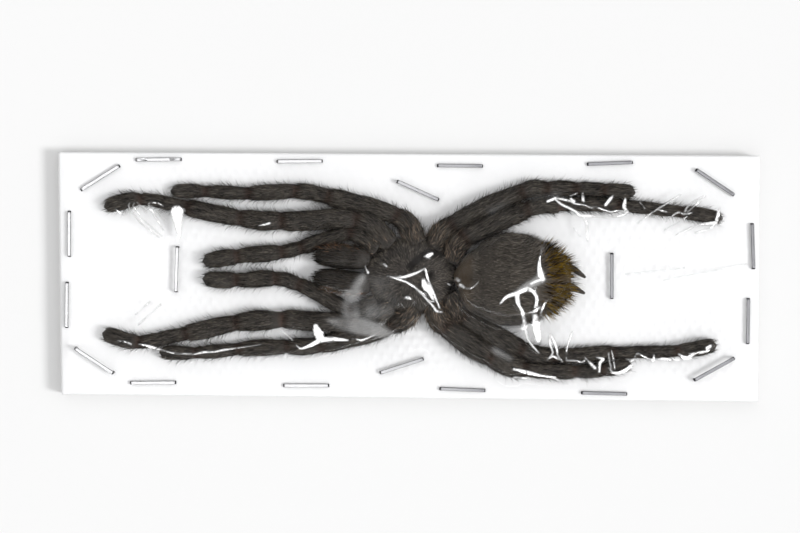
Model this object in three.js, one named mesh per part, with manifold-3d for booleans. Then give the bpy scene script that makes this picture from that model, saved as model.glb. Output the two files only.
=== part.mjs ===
// A dried tarantula laid out flat on embossed tissue on a white board, under one sheet of clear film
// that wire staples hold down. Millimetres, +Z up. The origin is the middle of the board's underside.
// +X runs towards the animal's tail, and +Y to its own right-hand side.
import * as THREE from "three";
import { mergeVertices } from "three/addons/utils/BufferGeometryUtils.js";
import Module from "manifold-3d";

const wasm = await Module();
wasm.setup();

// Driving dimensions.

// The board is cut by hand, so its corners are a little out of square.
const board = {
  corners: {
    headRight: [-101.9, 36.3],
    tailRight: [101.9, 35.2],
    tailLeft: [101.4, -36.4],
    headLeft: [-101.0, -34.2],
  },
  thickness: 5,
};
const tissue = { thickness: 0.8, inset: 0.6 };
const film = {
  thickness: 0.3,
  inset: 0.4,
  lift: 0.1, // over the tissue, where nothing lies between them
  clearance: 0.35, // over the animal
  propSpacing: 1.2, // of the points of the animal that hold it up
  rounds: 40,
  columns: 38,
  innerRows: 11,
  edgeRow: 2.9, // height of each of the two rows along the long edges, which the staples pin flat
};
const staple = {
  crown: 12.9,
  leg: 6,
  wireWidth: 1.0,
  wireThickness: 0.5,
  cornerRadius: 0.6,
  rest: 0.1, // over the film
  slotFloor: 0.5,
  slotTop: 20,
};

// Room that is left round a piece where another is cut to fit it.
const gap = 0.3;

// Middle of each crown, and its turn in degrees.
const staplePlaces = [
  [-72.6, 34.0, 0.6],
  [-31.7, 33.5, 0.6],
  [14.8, 32.2, -0.6],
  [58.3, 32.9, 2.2],
  [88.7, 27.4, -33.8],
  [99.7, 8.9, 91.8],
  [98.3, -12.8, 89.1],
  [88.4, -26.7, 29.0],
  [56.6, -33.8, -1.5],
  [15.5, -32.7, -2.2],
  [-29.8, -31.5, 0.0],
  [-74.2, -30.7, 0.5],
  [-91.1, -24.2, -33.4],
  [-99.2, -8.1, 89.4],
  [-98.5, 12.5, 90.0],
  [-89.5, 28.7, 32.2],
  [2.6, 25.0, -24.2],
  [-2.1, -25.8, 17.8],
  [-67.3, 2.2, 88.2],
  [58.8, 0.3, 90.0],
];

const frontBody = {
  centre: [0.3, 0.3],
  halfLength: 13.4,
  halfWidth: 11.0,
  headNarrowing: 0.34,
  top: 14.8,
  bottom: 6.5,
};
const abdomen = {
  centreLine: -0.6,
  // Distance along X, and half width there, from the waist to the tail.
  outline: [
    [13.6, 1.9],
    [14.8, 4.6],
    [16.2, 7.4],
    [21.2, 11.2],
    [24.9, 12.9],
    [28.6, 13.3],
    [35.8, 11.9],
    [39.4, 10.0],
    [43.1, 7.4],
    [46.2, 3.6],
  ],
  flatness: 0.46,
  waistLength: 6, // this much stays round, and the rest is flattened
};
const jaw = {
  length: 16.2,
  flatness: 1.0,
  // Distance from the base, and half width.
  outline: [[0, 2.2], [2.5, 3.2], [8, 3.3], [12.5, 3.0], [15.2, 1.9]],
};
const jawPlaces = {
  jaw_right: { base: [-11.2, 5.2], tip: [-27.0, 6.5] },
  jaw_left: { base: [-11.2, -2.4], tip: [-27.2, -0.4] },
};
const jawHeight = 9.7;
const jawDroop = 0.4; // of its tip under its base
const spinneret = { radii: [1.0, 1.05, 0.85], height: 8.2, flatness: 0.9 };
const spinneretPlaces = {
  spinneret_right: [[45.6, 3.4], [47.4, 2.2], [50.9, -0.2]],
  spinneret_left: [[45.9, -2.9], [47.5, -3.2], [50.7, -4.8]],
};

// Half widths of a limb's segments from the body out: hip, thigh, knee, shin, and one or two foot segments.
const halfWidths = {
  leg_1_right: [3.2, 2.9, 2.6, 2.5, 1.85, 2.15],
  leg_1_left: [3.2, 2.8, 2.6, 2.5, 1.85, 2.15],
  leg_2_right: [3.1, 2.7, 2.3, 2.15, 1.8, 1.85],
  leg_2_left: [3.1, 2.7, 2.3, 2.15, 1.8, 1.85],
  leg_3_right: [3.1, 2.6, 2.4, 2.1, 1.9, 1.95],
  leg_3_left: [3.2, 3.15, 2.95, 2.1, 1.9, 1.95],
  leg_4_right: [3.4, 3.15, 2.45, 2.05, 1.7, 1.95],
  leg_4_left: [3.3, 2.75, 2.4, 2.05, 1.7, 1.95],
  palp_right: [2.7, 2.2, 2.0, 2.15, 2.3],
  palp_left: [2.7, 2.2, 2.0, 2.15, 2.3],
};
// Joints of each limb from the body out, ending at its tip.
const limbRoutes = {
  leg_1_right: [
    [-4.9, 9.2], [-14.8, 16.2], [-36.3, 16.2], [-48.4, 16.9], [-63.8, 20.0], [-77.4, 22.4], [-88.2, 20.2],
  ],
  leg_2_right: [
    [2.6, 9.5], [-3.2, 17.3], [-22.9, 23.1], [-32.5, 24.7], [-46.1, 24.2], [-58.6, 24.7], [-69.0, 24.9],
  ],
  leg_3_right: [
    [6.9, 8.2], [11.8, 14.8], [32.2, 24.5], [39.7, 25.5], [48.1, 25.5], [56.3, 25.2], [65.5, 24.3],
  ],
  leg_4_right: [
    [12.2, 3.8], [15.7, 10.9], [33.7, 19.4], [43.8, 20.8], [60.6, 20.7], [78.6, 18.8], [90.8, 16.9],
  ],
  leg_1_left: [
    [-4.9, -8.2], [-14.8, -13.1], [-36.3, -12.4], [-49.6, -13.4],
    [-64.1, -16.3], [-78.0, -18.8], [-88.7, -16.3],
  ],
  leg_2_left: [
    [2.0, -8.5], [-4.9, -13.9], [-25.2, -19.5], [-34.8, -20.1],
    [-49.0, -20.9], [-61.5, -22.1], [-72.2, -21.8],
  ],
  leg_3_left: [
    [6.3, -7.4], [10.2, -14.1], [23.4, -22.9], [33.2, -26.6], [47.6, -27.3], [55.7, -26.9], [64.4, -25.3],
  ],
  leg_4_left: [
    [12.0, -4.6], [15.5, -11.0], [32.3, -20.7], [41.8, -22.9], [58.6, -22.0], [77.4, -21.5], [89.0, -19.8],
  ],
  palp_right: [[-9.0, 7.8], [-16.5, 12.6], [-30.7, 8.6], [-36.3, 7.3], [-49.3, 5.9], [-59.7, 4.4]],
  palp_left: [[-9.0, -7.3], [-16.5, -9.6], [-31.3, -2.4], [-38.3, -0.5], [-49.6, -0.9], [-59.7, -0.6]],
};
const limb = {
  sides: 8,
  flatness: 0.88, // height over width, from drying under the film
  waist: 0.84, // width at a joint over the widest part of the segment
  widest: 0.48, // how far along its segment that part is
  tip: 0.62,
  endCap: 0.4,
  hipHeight: 10.2,
};

// Colours are sRGB.
const finishes = {
  board: new THREE.MeshStandardMaterial({ color: 0xfafafa, roughness: 0.8, metalness: 0 }),
  tissue: new THREE.MeshStandardMaterial({ color: 0xf7f7f8, roughness: 0.95, metalness: 0 }),
  film: new THREE.MeshStandardMaterial({
    color: 0xffffff,
    roughness: 0.08,
    metalness: 0,
    transparent: true,
    opacity: 0.12,
  }),
  steel: new THREE.MeshStandardMaterial({ color: 0xb9bbbd, roughness: 0.3, metalness: 1 }),
  shell: new THREE.MeshStandardMaterial({ color: 0x46403a, roughness: 0.65, metalness: 0 }),
  tail: new THREE.MeshStandardMaterial({ color: 0x4b3d2b, roughness: 0.7, metalness: 0 }),
};

const tissueTop = board.thickness + tissue.thickness;
const animalBase = tissueTop + film.lift; // lowest point of what lies on the tissue

// Part: solids and meshes.

// A closed solid from a geometry, with its faces turned outwards.
function solidOf(geometry) {
  const bare = new THREE.BufferGeometry();
  bare.setAttribute("position", geometry.getAttribute("position"));
  bare.setIndex(geometry.index);
  const merged = mergeVertices(bare, 1e-4);
  const triVerts = new Uint32Array(merged.index.array);
  const vertProperties = merged.attributes.position.array;
  if (signedVolume(vertProperties, triVerts) < 0) {
    for (let i = 0; i < triVerts.length; i += 3) {
      [triVerts[i + 1], triVerts[i + 2]] = [triVerts[i + 2], triVerts[i + 1]];
    }
  }
  return new wasm.Manifold(new wasm.Mesh({ numProp: 3, vertProperties, triVerts }));
}

function signedVolume(points, triangles) {
  const [a, b, c] = [new THREE.Vector3(), new THREE.Vector3(), new THREE.Vector3()];
  let volume = 0;
  for (let i = 0; i < triangles.length; i += 3) {
    a.fromArray(points, triangles[i] * 3);
    b.fromArray(points, triangles[i + 1] * 3);
    c.fromArray(points, triangles[i + 2] * 3);
    volume += a.dot(b.cross(c)) / 6;
  }
  return volume;
}

function geometryOf(solid) {
  const mesh = solid.getMesh();
  const geometry = new THREE.BufferGeometry();
  geometry.setAttribute("position", new THREE.BufferAttribute(mesh.vertProperties, 3));
  geometry.setIndex(new THREE.BufferAttribute(mesh.triVerts, 1));
  return geometry;
}

// What is left of a solid after cuts that may sever small slivers.
function largestPiece(solid) {
  return solid.decompose().reduce((best, piece) => (piece.volume() > best.volume() ? piece : best));
}

function moveVertices(geometry, move) {
  const points = geometry.attributes.position;
  const p = new THREE.Vector3();
  for (let i = 0; i < points.count; i++) {
    p.fromBufferAttribute(points, i);
    move(p);
    points.setXYZ(i, p.x, p.y, p.z);
  }
  return geometry;
}

// Part: board and tissue.

// The board's outline, drawn in by a margin along every edge.
function outline(margin) {
  const { headRight, tailRight, tailLeft, headLeft } = board.corners;
  return {
    headRight: [headRight[0] + margin, headRight[1] - margin],
    tailRight: [tailRight[0] - margin, tailRight[1] - margin],
    tailLeft: [tailLeft[0] - margin, tailLeft[1] + margin],
    headLeft: [headLeft[0] + margin, headLeft[1] + margin],
  };
}

function slab(margin, bottom, thickness) {
  const { headRight, tailRight, tailLeft, headLeft } = outline(margin);
  const corners = [headLeft, tailLeft, tailRight, headRight].map(([x, y]) => new THREE.Vector2(x, y));
  const shape = new THREE.Shape(corners);
  const geometry = new THREE.ExtrudeGeometry(shape, { depth: thickness, bevelEnabled: false });
  return geometry.translate(0, 0, bottom);
}

// Part: the animal.

// Lathe of [distance, radius] stations, closed at both ends on its axis, which is Y.
function turned(stations, length, sides) {
  const rim = stations.map(([distance, radius]) => new THREE.Vector2(radius, distance));
  const profile = [new THREE.Vector2(0, 0), ...rim, new THREE.Vector2(0, length)];
  return new THREE.LatheGeometry(profile, sides);
}

// Lays a turned shape along a curve, flattened in height. Distances along its axis become distances along
// the curve.
function layAlong(geometry, curve, length, flatness) {
  const up = new THREE.Vector3(0, 0, 1);
  return moveVertices(geometry, (p) => {
    const share = THREE.MathUtils.clamp(p.y / length, 0, 1);
    const tangent = curve.getTangentAt(share);
    const side = new THREE.Vector3().crossVectors(tangent, up).normalize();
    const rise = new THREE.Vector3().crossVectors(side, tangent);
    const { x, z } = p;
    p.copy(curve.getPointAt(share)).addScaledVector(side, x).addScaledVector(rise, z * flatness);
  });
}

// A limb whose segments swell between narrower joints. Extra is added to its radius all round.
function limbGeometry(route, widths, extra) {
  const joints = route.map(([x, y], i) => {
    const width = widths[Math.min(i, widths.length - 1)];
    const resting = animalBase + width * limb.flatness;
    const heights = [limb.hipHeight, (limb.hipHeight + resting) / 2];
    return new THREE.Vector3(x, y, heights[i] ?? resting);
  });
  const curve = new THREE.CatmullRomCurve3(joints, false, "centripetal");
  const stepsPerSegment = 20;
  curve.arcLengthDivisions = stepsPerSegment * (joints.length - 1);
  const lengths = curve.getLengths();
  const ends = joints.map((_, i) => lengths[i * stepsPerSegment]);
  const stations = [];
  widths.forEach((width, i) => {
    const [start, end] = [ends[i], ends[i + 1]];
    stations.push([Math.max(start, limb.endCap), width * limb.waist]);
    stations.push([start + limb.widest * (end - start), width]);
  });
  const length = ends.at(-1);
  stations.push([length - limb.endCap, widths.at(-1) * limb.tip]);
  const grown = stations.map(([distance, radius]) => [distance, radius + extra]);
  const geometry = layAlong(turned(grown, length, limb.sides), curve, length, limb.flatness);
  return moveVertices(geometry, (p) => {
    p.z = Math.max(p.z, animalBase - extra); // flat where it lies on the tissue
  });
}

function frontBodyGeometry(extra) {
  const { centre, halfLength, halfWidth, headNarrowing, top, bottom } = frontBody;
  const middle = (top + bottom) / 2;
  const halfHeight = (top - bottom) / 2;
  return moveVertices(new THREE.SphereGeometry(1, 20, 12).rotateX(Math.PI / 2), (p) => {
    const towardsHead = THREE.MathUtils.clamp(-p.x, 0, 1);
    const width = (halfWidth + extra) * (1 - headNarrowing * towardsHead ** 2);
    p.x = centre[0] + (halfLength + extra) * p.x;
    p.y = centre[1] + width * p.y;
    p.z = middle + (halfHeight + extra) * p.z;
  });
}

function abdomenGeometry(extra) {
  const { centreLine, outline: stations, flatness, waistLength } = abdomen;
  const [front, back] = [stations[0][0] - 0.6, stations.at(-1)[0] + 0.8];
  const height = animalBase + Math.max(...stations.map(([, radius]) => radius)) * flatness;
  const rim = stations.map(([x, radius]) => [x - front, radius + extra]);
  return moveVertices(turned(rim, back - front, 20), (p) => {
    const [across, along, rise] = [p.x, p.y, p.z];
    const waist = THREE.MathUtils.smoothstep(along, 0, waistLength);
    const raised = rise * THREE.MathUtils.lerp(1, flatness, waist);
    p.set(front + along, centreLine * waist + across, height + raised);
  });
}

function jawGeometry({ base, tip }, extra) {
  const ends = [new THREE.Vector3(...base, jawHeight), new THREE.Vector3(...tip, jawHeight - jawDroop)];
  const line = new THREE.LineCurve3(...ends);
  const rim = jaw.outline.map(([distance, radius]) => [distance, radius + extra]);
  return layAlong(turned(rim, jaw.length, 10), line, jaw.length, jaw.flatness);
}

function spinneretGeometry(route, extra) {
  const points = route.map(([x, y]) => new THREE.Vector3(x, y, spinneret.height));
  const curve = new THREE.CatmullRomCurve3(points);
  const length = curve.getLength();
  const rim = spinneret.radii.map((radius, i) => [0.15 + i * 0.36 * length, radius + extra]);
  return layAlong(turned(rim, length, 8), curve, length, spinneret.flatness);
}

// Every piece of the animal in the order in which a later one gives way to an earlier one.
const animalPieces = [
  { name: "front_body", finish: "shell", shape: frontBodyGeometry },
  { name: "abdomen", finish: "tail", shape: abdomenGeometry },
  ...Object.entries(spinneretPlaces).map(([name, route]) => ({
    name,
    finish: "tail",
    shape: (extra) => spinneretGeometry(route, extra),
  })),
  ...Object.entries(jawPlaces).map(([name, place]) => ({
    name,
    finish: "shell",
    shape: (extra) => jawGeometry(place, extra),
  })),
  ...Object.entries(limbRoutes).map(([name, route]) => ({
    name,
    finish: "shell",
    shape: (extra) => limbGeometry(route, halfWidths[name], extra),
  })),
];

function buildAnimal() {
  const made = new Map();
  const cutters = [];
  for (const { name, shape } of animalPieces) {
    const whole = solidOf(shape(0));
    const cut = cutters.reduce((rest, cutter) => rest.subtract(cutter), whole);
    made.set(name, geometryOf(largestPiece(cut)));
    cutters.push(solidOf(shape(gap)));
  }
  return made;
}

// Part: the film.

// The film's grid: shares of its length and width, and the place of each on the board.
const filmEdge = outline(film.inset);
const halfSpan = board.corners.tailRight[0];
const between = (a, b, share) => a + (b - a) * share;
const lowEdge = (x) => between(filmEdge.headLeft[1], filmEdge.tailLeft[1], alongOf(x));
const alongOf = (x) => (x + halfSpan) / (2 * halfSpan);
const highEdge = (x) => between(filmEdge.headRight[1], filmEdge.tailRight[1], alongOf(x));
const shareOfHeight = (y) => (y - filmEdge.tailLeft[1]) / (filmEdge.tailRight[1] - filmEdge.tailLeft[1]);
const headEdge = (y) => between(filmEdge.headLeft[0], filmEdge.headRight[0], shareOfHeight(y));
const tailEdge = (y) => between(filmEdge.tailLeft[0], filmEdge.tailRight[0], shareOfHeight(y));

function placeOnBoard(u, v) {
  const column = between(-halfSpan, halfSpan, u);
  const y = between(lowEdge(column), highEdge(column), v);
  return [between(headEdge(y), tailEdge(y), u), y];
}

function sharesOf(x, y) {
  const u = (x - headEdge(y)) / (tailEdge(y) - headEdge(y));
  const column = between(-halfSpan, halfSpan, u);
  return [u, (y - lowEdge(column)) / (highEdge(column) - lowEdge(column))];
}

// Two narrow rows along each long edge, and even rows between them.
const rowShares = (() => {
  const narrow = film.edgeRow / (filmEdge.tailRight[1] - filmEdge.tailLeft[1]);
  const rows = Array.from({ length: film.innerRows + 1 }, (_, i) => i / film.innerRows);
  const inner = rows.map((share) => between(2 * narrow, 1 - 2 * narrow, share));
  return [0, narrow, ...inner, 1 - narrow, 1];
})();
const filmRows = rowShares.length - 1;

// The triangle of the grid that a point is in: its three grid points, and the share that each has in it.
// Every cell is split from its low corner to its high one.
function gridTriangle(x, y) {
  const [u, v] = sharesOf(x, y);
  const i = THREE.MathUtils.clamp(Math.floor(u * film.columns), 0, film.columns - 1);
  const j = THREE.MathUtils.clamp(rowShares.findIndex((share) => share > v) - 1, 0, filmRows - 1);
  const s = u * film.columns - i;
  const t = (v - rowShares[j]) / (rowShares[j + 1] - rowShares[j]);
  const third = s > t ? { i: i + 1, j, weight: s - t } : { i, j: j + 1, weight: t - s };
  return [{ i, j, weight: 1 - Math.max(s, t) }, { i: i + 1, j: j + 1, weight: Math.min(s, t) }, third];
}

const heightAt = (heights, corners) =>
  corners.reduce((sum, { i, j, weight }) => sum + weight * heights[i][j], 0);

// Height of the film's underside at each grid point. It starts flat on the tissue, and each point of the
// animal that stands through it pushes its triangle up, the nearest corners most, until nothing does. No
// point rises over the highest thing in the triangles round it.
function drapeHeights(animal) {
  const column = () => new Float64Array(filmRows + 1).fill(animalBase);
  const flat = () => Array.from({ length: film.columns + 1 }, column);
  const [heights, limits] = [flat(), flat()];
  const props = [];
  for (const geometry of animal.values()) {
    forEachSurfacePoint(geometry, film.propSpacing, ({ x, y, z }) => {
      const height = z + film.clearance;
      if (height <= animalBase) return;
      const corners = gridTriangle(x, y);
      for (const { i, j } of corners) limits[i][j] = Math.max(limits[i][j], height);
      props.push({ corners, height });
    });
  }
  for (let round = 0; round < film.rounds; round++) {
    for (const { corners, height } of props) {
      const short = height - heightAt(heights, corners);
      if (short <= 0) continue;
      const free = corners.filter(({ i, j }) => heights[i][j] < limits[i][j]);
      const squares = free.reduce((sum, { weight }) => sum + weight ** 2, 0);
      for (const { i, j, weight } of free) {
        heights[i][j] = Math.min(limits[i][j], heights[i][j] + (short * weight) / squares);
      }
    }
  }
  return heights;
}

// Calls back with points spread over every triangle, no further apart than the spacing.
function forEachSurfacePoint(geometry, spacing, call) {
  const points = geometry.attributes.position;
  const index = geometry.index.array;
  const [a, b, c, p] = Array.from({ length: 4 }, () => new THREE.Vector3());
  for (let t = 0; t < index.length; t += 3) {
    a.fromBufferAttribute(points, index[t]);
    b.fromBufferAttribute(points, index[t + 1]);
    c.fromBufferAttribute(points, index[t + 2]);
    const steps = Math.ceil(Math.max(a.distanceTo(b), b.distanceTo(c), c.distanceTo(a)) / spacing);
    for (let i = 0; i <= steps; i++) {
      for (let j = 0; j <= steps - i; j++) {
        p.copy(a).multiplyScalar(1 - (i + j) / steps);
        p.addScaledVector(b, i / steps).addScaledVector(c, j / steps);
        call(p);
      }
    }
  }
}

function filmGeometry(heights) {
  const grid = new THREE.BoxGeometry(1, 1, 1, film.columns, filmRows, 1);
  splitUndersideLikeTop(grid);
  return moveVertices(grid, (p) => {
    const i = Math.round((p.x + 0.5) * film.columns);
    const j = Math.round((p.y + 0.5) * filmRows);
    const [x, y] = placeOnBoard(i / film.columns, rowShares[j]);
    p.set(x, y, heights[i][j] + (p.z > 0 ? film.thickness : 0));
  });
}

// A box splits its underside's cells the other way from its top's, so the underside's are turned round.
function splitUndersideLikeTop(box) {
  const { start, count } = box.groups[box.groups.length - 1];
  const index = box.index.array;
  for (let at = start; at < start + count; at += 6) {
    const [a, b, , , c, d] = index.slice(at, at + 6);
    index.set([a, b, c, a, c, d], at);
  }
}

// Highest point of the film's top under a staple's crown.
function filmTopUnder(heights, [x, y, degrees]) {
  const turn = THREE.MathUtils.degToRad(degrees);
  const [halfLength, halfWidth] = [staple.crown / 2, staple.wireWidth / 2];
  let highest = 0;
  for (let share = -1; share <= 1; share += 1 / 16) {
    for (const across of [-halfWidth, halfWidth]) {
      const along = halfLength * share;
      const at = [
        x + along * Math.cos(turn) - across * Math.sin(turn),
        y + along * Math.sin(turn) + across * Math.cos(turn),
      ];
      highest = Math.max(highest, heightAt(heights, gridTriangle(...at)));
    }
  }
  return highest + film.thickness;
}

// Part: the staples.

// A bent wire seen from its side: a crown with round shoulders, and two legs with chisel points. Its top is
// at 0.
function stapleGeometry() {
  const { crown, leg, wireWidth, wireThickness: thick, cornerRadius: bend } = staple;
  const half = crown / 2;
  const shape = new THREE.Shape();
  shape.moveTo(-half, -leg + thick);
  shape.lineTo(-half, -bend);
  shape.absarc(-half + bend, -bend, bend, Math.PI, Math.PI / 2, true);
  shape.lineTo(half - bend, 0);
  shape.absarc(half - bend, -bend, bend, Math.PI / 2, 0, true);
  shape.lineTo(half, -leg + thick);
  shape.lineTo(half - thick, -leg);
  shape.lineTo(half - thick, -thick);
  shape.lineTo(-half + thick, -thick);
  shape.lineTo(-half + thick, -leg);
  const options = { depth: wireWidth, bevelEnabled: false, curveSegments: 1 };
  const geometry = new THREE.ExtrudeGeometry(shape, options);
  return geometry.translate(0, 0, -wireWidth / 2).rotateX(Math.PI / 2);
}

// The pair of slots that a staple's legs make, from just under their points up through the film.
function legSlots([x, y, degrees]) {
  const { crown, wireWidth, wireThickness, slotFloor, slotTop } = staple;
  return [-1, 1].map((side) => {
    const slot = new THREE.BoxGeometry(wireThickness + 2 * gap, wireWidth + 2 * gap, slotTop - slotFloor);
    slot.translate((side * (crown - wireThickness)) / 2, 0, (slotTop + slotFloor) / 2);
    slot.rotateZ(THREE.MathUtils.degToRad(degrees)).translate(x, y, 0);
    return solidOf(slot);
  });
}

// Part: assembly.

const specimen = new THREE.Group();

function addMesh(parent, name, geometry, finish) {
  const mesh = new THREE.Mesh(geometry, finishes[finish]);
  mesh.name = name;
  parent.add(mesh);
  return mesh;
}

const animal = buildAnimal();
const heights = drapeHeights(animal);
const slots = staplePlaces.flatMap(legSlots);
const pierced = (geometry) =>
  geometryOf(slots.reduce((rest, slot) => rest.subtract(slot), solidOf(geometry)));

addMesh(specimen, "backing_board", pierced(slab(0, 0, board.thickness)), "board");
addMesh(specimen, "tissue_pad", pierced(slab(tissue.inset, board.thickness, tissue.thickness)), "tissue");

const creature = new THREE.Group();
for (const { name, finish } of animalPieces) addMesh(creature, name, animal.get(name), finish);
specimen.add(creature);

addMesh(specimen, "clear_film", pierced(filmGeometry(heights)), "film");

const staples = new THREE.Group();
staplePlaces.forEach((place, i) => {
  const mesh = addMesh(staples, `staple_${String(i + 1).padStart(2, "0")}`, stapleGeometry(), "steel");
  const crownTop = filmTopUnder(heights, place) + staple.rest + staple.wireThickness;
  mesh.position.set(place[0], place[1], crownTop);
  mesh.rotation.z = THREE.MathUtils.degToRad(place[2]);
});
specimen.add(staples);

export default specimen;
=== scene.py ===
import math

import bmesh
import bpy
import numpy as np
from mathutils import Matrix, Vector
from mathutils.bvhtree import BVHTree


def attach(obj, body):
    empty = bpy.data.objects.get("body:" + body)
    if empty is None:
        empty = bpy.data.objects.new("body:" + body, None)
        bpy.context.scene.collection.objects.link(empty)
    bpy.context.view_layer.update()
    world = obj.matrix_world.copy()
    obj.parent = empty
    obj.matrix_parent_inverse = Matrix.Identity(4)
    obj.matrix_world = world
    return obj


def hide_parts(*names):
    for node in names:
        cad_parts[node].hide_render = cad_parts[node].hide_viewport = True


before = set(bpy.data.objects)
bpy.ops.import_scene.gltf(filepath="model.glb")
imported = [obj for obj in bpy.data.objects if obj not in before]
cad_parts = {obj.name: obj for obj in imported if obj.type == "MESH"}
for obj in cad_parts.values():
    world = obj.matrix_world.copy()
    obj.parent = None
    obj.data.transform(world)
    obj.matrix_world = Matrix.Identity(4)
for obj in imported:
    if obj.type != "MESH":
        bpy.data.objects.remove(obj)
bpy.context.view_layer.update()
print("frame loaded")

# Shapes are worked out in millimetres and made into meshes in metres.
mm = 0.001


def makeMesh(name, points, faces, smooth=True, attributes=None):
    mesh = bpy.data.meshes.new(name)
    mesh.from_pydata((np.asarray(points) * mm).tolist(), [], [list(map(int, face)) for face in faces])
    for key, values in (attributes or {}).items():
        values = np.asarray(values, dtype=float)
        kind = "FLOAT_VECTOR" if values.ndim == 2 else "FLOAT"
        layer = mesh.attributes.new(key, kind, "POINT")
        layer.data.foreach_set("vector" if values.ndim == 2 else "value", values.ravel())
    mesh.polygons.foreach_set("use_smooth", [smooth] * len(mesh.polygons))
    mesh.update()
    return mesh


def addToScene(name, data):
    thing = bpy.data.objects.new(name, data)
    bpy.context.scene.collection.objects.link(thing)
    return thing


def makeObject(name, mesh, material=None):
    thing = addToScene(name, mesh)
    if material is not None:
        mesh.materials.clear()
        mesh.materials.append(material)
    return thing


def faceOutward(mesh):
    shape = bmesh.new()
    shape.from_mesh(mesh)
    bmesh.ops.recalc_face_normals(shape, faces=shape.faces)
    shape.to_mesh(mesh)
    shape.free()


def finishPiece(thing, node=None):
    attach(thing, "root")
    if node is not None:
        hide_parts(node)
    return thing


def applyModifiers(thing):
    # the evaluated mesh takes the place of the live one
    bpy.context.view_layer.update()
    result = bpy.data.meshes.new_from_object(thing.evaluated_get(bpy.context.evaluated_depsgraph_get()))
    old = thing.data
    thing.modifiers.clear()
    thing.data = result
    bpy.data.meshes.remove(old)
    return thing


def setSocket(tree, target, value):
    if isinstance(value, bpy.types.NodeSocket):
        tree.links.new(value, target)
    else:
        target.default_value = value


def addNode(tree, kind, inputs=None, **settings):
    node = tree.nodes.new(kind)
    for key, value in settings.items():
        setattr(node, key, value)
    for key, value in (inputs or {}).items():
        setSocket(tree, node.inputs[key], value)
    return node


def mapRange(tree, value, fromLow=0.0, fromHigh=1.0, toLow=0.0, toHigh=1.0):
    spans = {0: value, 1: fromLow, 2: fromHigh, 3: toLow, 4: toHigh}
    return addNode(tree, "ShaderNodeMapRange", spans).outputs[0]


def readAttribute(tree, name, output="Fac"):
    return addNode(tree, "ShaderNodeAttribute", attribute_name=name).outputs[output]


def partOf(tree, vector, axis):
    return addNode(tree, "ShaderNodeSeparateXYZ", {0: vector}).outputs[axis]


def makeTree(name, kind, inputs, outputs):
    # an empty node group with named sockets, each as (name, type, value)
    tree = bpy.data.node_groups.new(name, kind)
    for way, sockets in (("INPUT", inputs), ("OUTPUT", outputs)):
        for label, sort, value in sockets:
            socket = tree.interface.new_socket(name=label, in_out=way, socket_type="NodeSocket" + sort)
            if value is not None:
                socket.default_value = value
    return tree, addNode(tree, "NodeGroupInput"), addNode(tree, "NodeGroupOutput")


def addMath(tree, operation, first, second=0.0, third=None):
    inputs = {0: first, 1: second}
    if third is not None:
        inputs[2] = third
    return addNode(tree, "ShaderNodeMath", inputs, operation=operation).outputs[0]


def times(tree, first, second):
    return addMath(tree, "MULTIPLY", first, second)


def plus(tree, first, second):
    return addMath(tree, "ADD", first, second)


def mixColour(tree, factor, first, second):
    node = addNode(tree, "ShaderNodeMix", data_type="RGBA")
    for socket, value in (("Factor_Float", factor), ("A_Color", first), ("B_Color", second)):
        target = next(entry for entry in node.inputs if entry.identifier == socket)
        setSocket(tree, target, (*value, 1) if isinstance(value, tuple) else value)
    return next(entry for entry in node.outputs if entry.identifier == "Result_Color")


def newMaterial(name, **shaderValues):
    material = bpy.data.materials.new(name)
    material.use_nodes = True
    tree = material.node_tree
    shader = tree.nodes["Principled BSDF"]
    for key, value in shaderValues.items():
        shader.inputs[key.replace("_", " ")].default_value = value
    return material, tree, shader


def fractal(tree, place, scale, detail=4.0, roughness=0.6):
    return addNode(tree, "ShaderNodeTexNoise",
                   {"Vector": place, "Scale": scale, "Detail": detail, "Roughness": roughness}).outputs[0]


maskAndHeight = (("Mask", "Float", None), ("Height", "Float", None))


def makeFleckGroup():
    # broad tone patches with fine flecks over them, as a mask and a height
    group, inlet, outlet = makeTree("flecks", "ShaderNodeTree", (
        ("Place", "Vector", None), ("Patch Scale", "Float", 60.0), ("Fleck Scale", "Float", 900.0),
        ("Fleck Share", "Float", 0.4)), maskAndHeight)
    patches = fractal(group, inlet.outputs["Place"], inlet.outputs["Patch Scale"], 3.0)
    flecks = fractal(group, inlet.outputs["Place"], inlet.outputs["Fleck Scale"], 5.0, 0.7)
    share = inlet.outputs["Fleck Share"]
    both = plus(group, times(group, flecks, share),
                   times(group, patches, addMath(group, "SUBTRACT", 1.0, share)))
    spread = mapRange(group, both, 0.3, 0.7)
    group.links.new(spread, outlet.inputs["Mask"])
    group.links.new(flecks, outlet.inputs["Height"])
    return group


def makeStrandGroup():
    # streaks that run along the first coordinate of a map, for hair lying on cuticle and for drawn wire
    group, inlet, outlet = makeTree("strands", "ShaderNodeTree", (
        ("Map", "Vector", None), ("Length", "Float", 1.2), ("Width", "Float", 0.12), ("Sway", "Float", 0.5)),
        maskAndHeight)
    along = addNode(group, "ShaderNodeSeparateXYZ", {0: inlet.outputs["Map"]})
    drift = times(group, fractal(group, inlet.outputs["Map"], 0.35, 2.0), inlet.outputs["Sway"])
    across = plus(group, along.outputs[1], drift)
    squeezed = addNode(group, "ShaderNodeCombineXYZ", {
        0: addMath(group, "DIVIDE", along.outputs[0], inlet.outputs["Length"]),
        1: addMath(group, "DIVIDE", across, inlet.outputs["Width"]),
        2: along.outputs[2],
    }).outputs[0]
    strands = fractal(group, squeezed, 1.0, 4.0, 0.65)
    spread = mapRange(group, strands, 0.32, 0.68)
    group.links.new(spread, outlet.inputs["Mask"])
    group.links.new(strands, outlet.inputs["Height"])
    return group


fleckGroup = makeFleckGroup()
strandGroup = makeStrandGroup()


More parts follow.
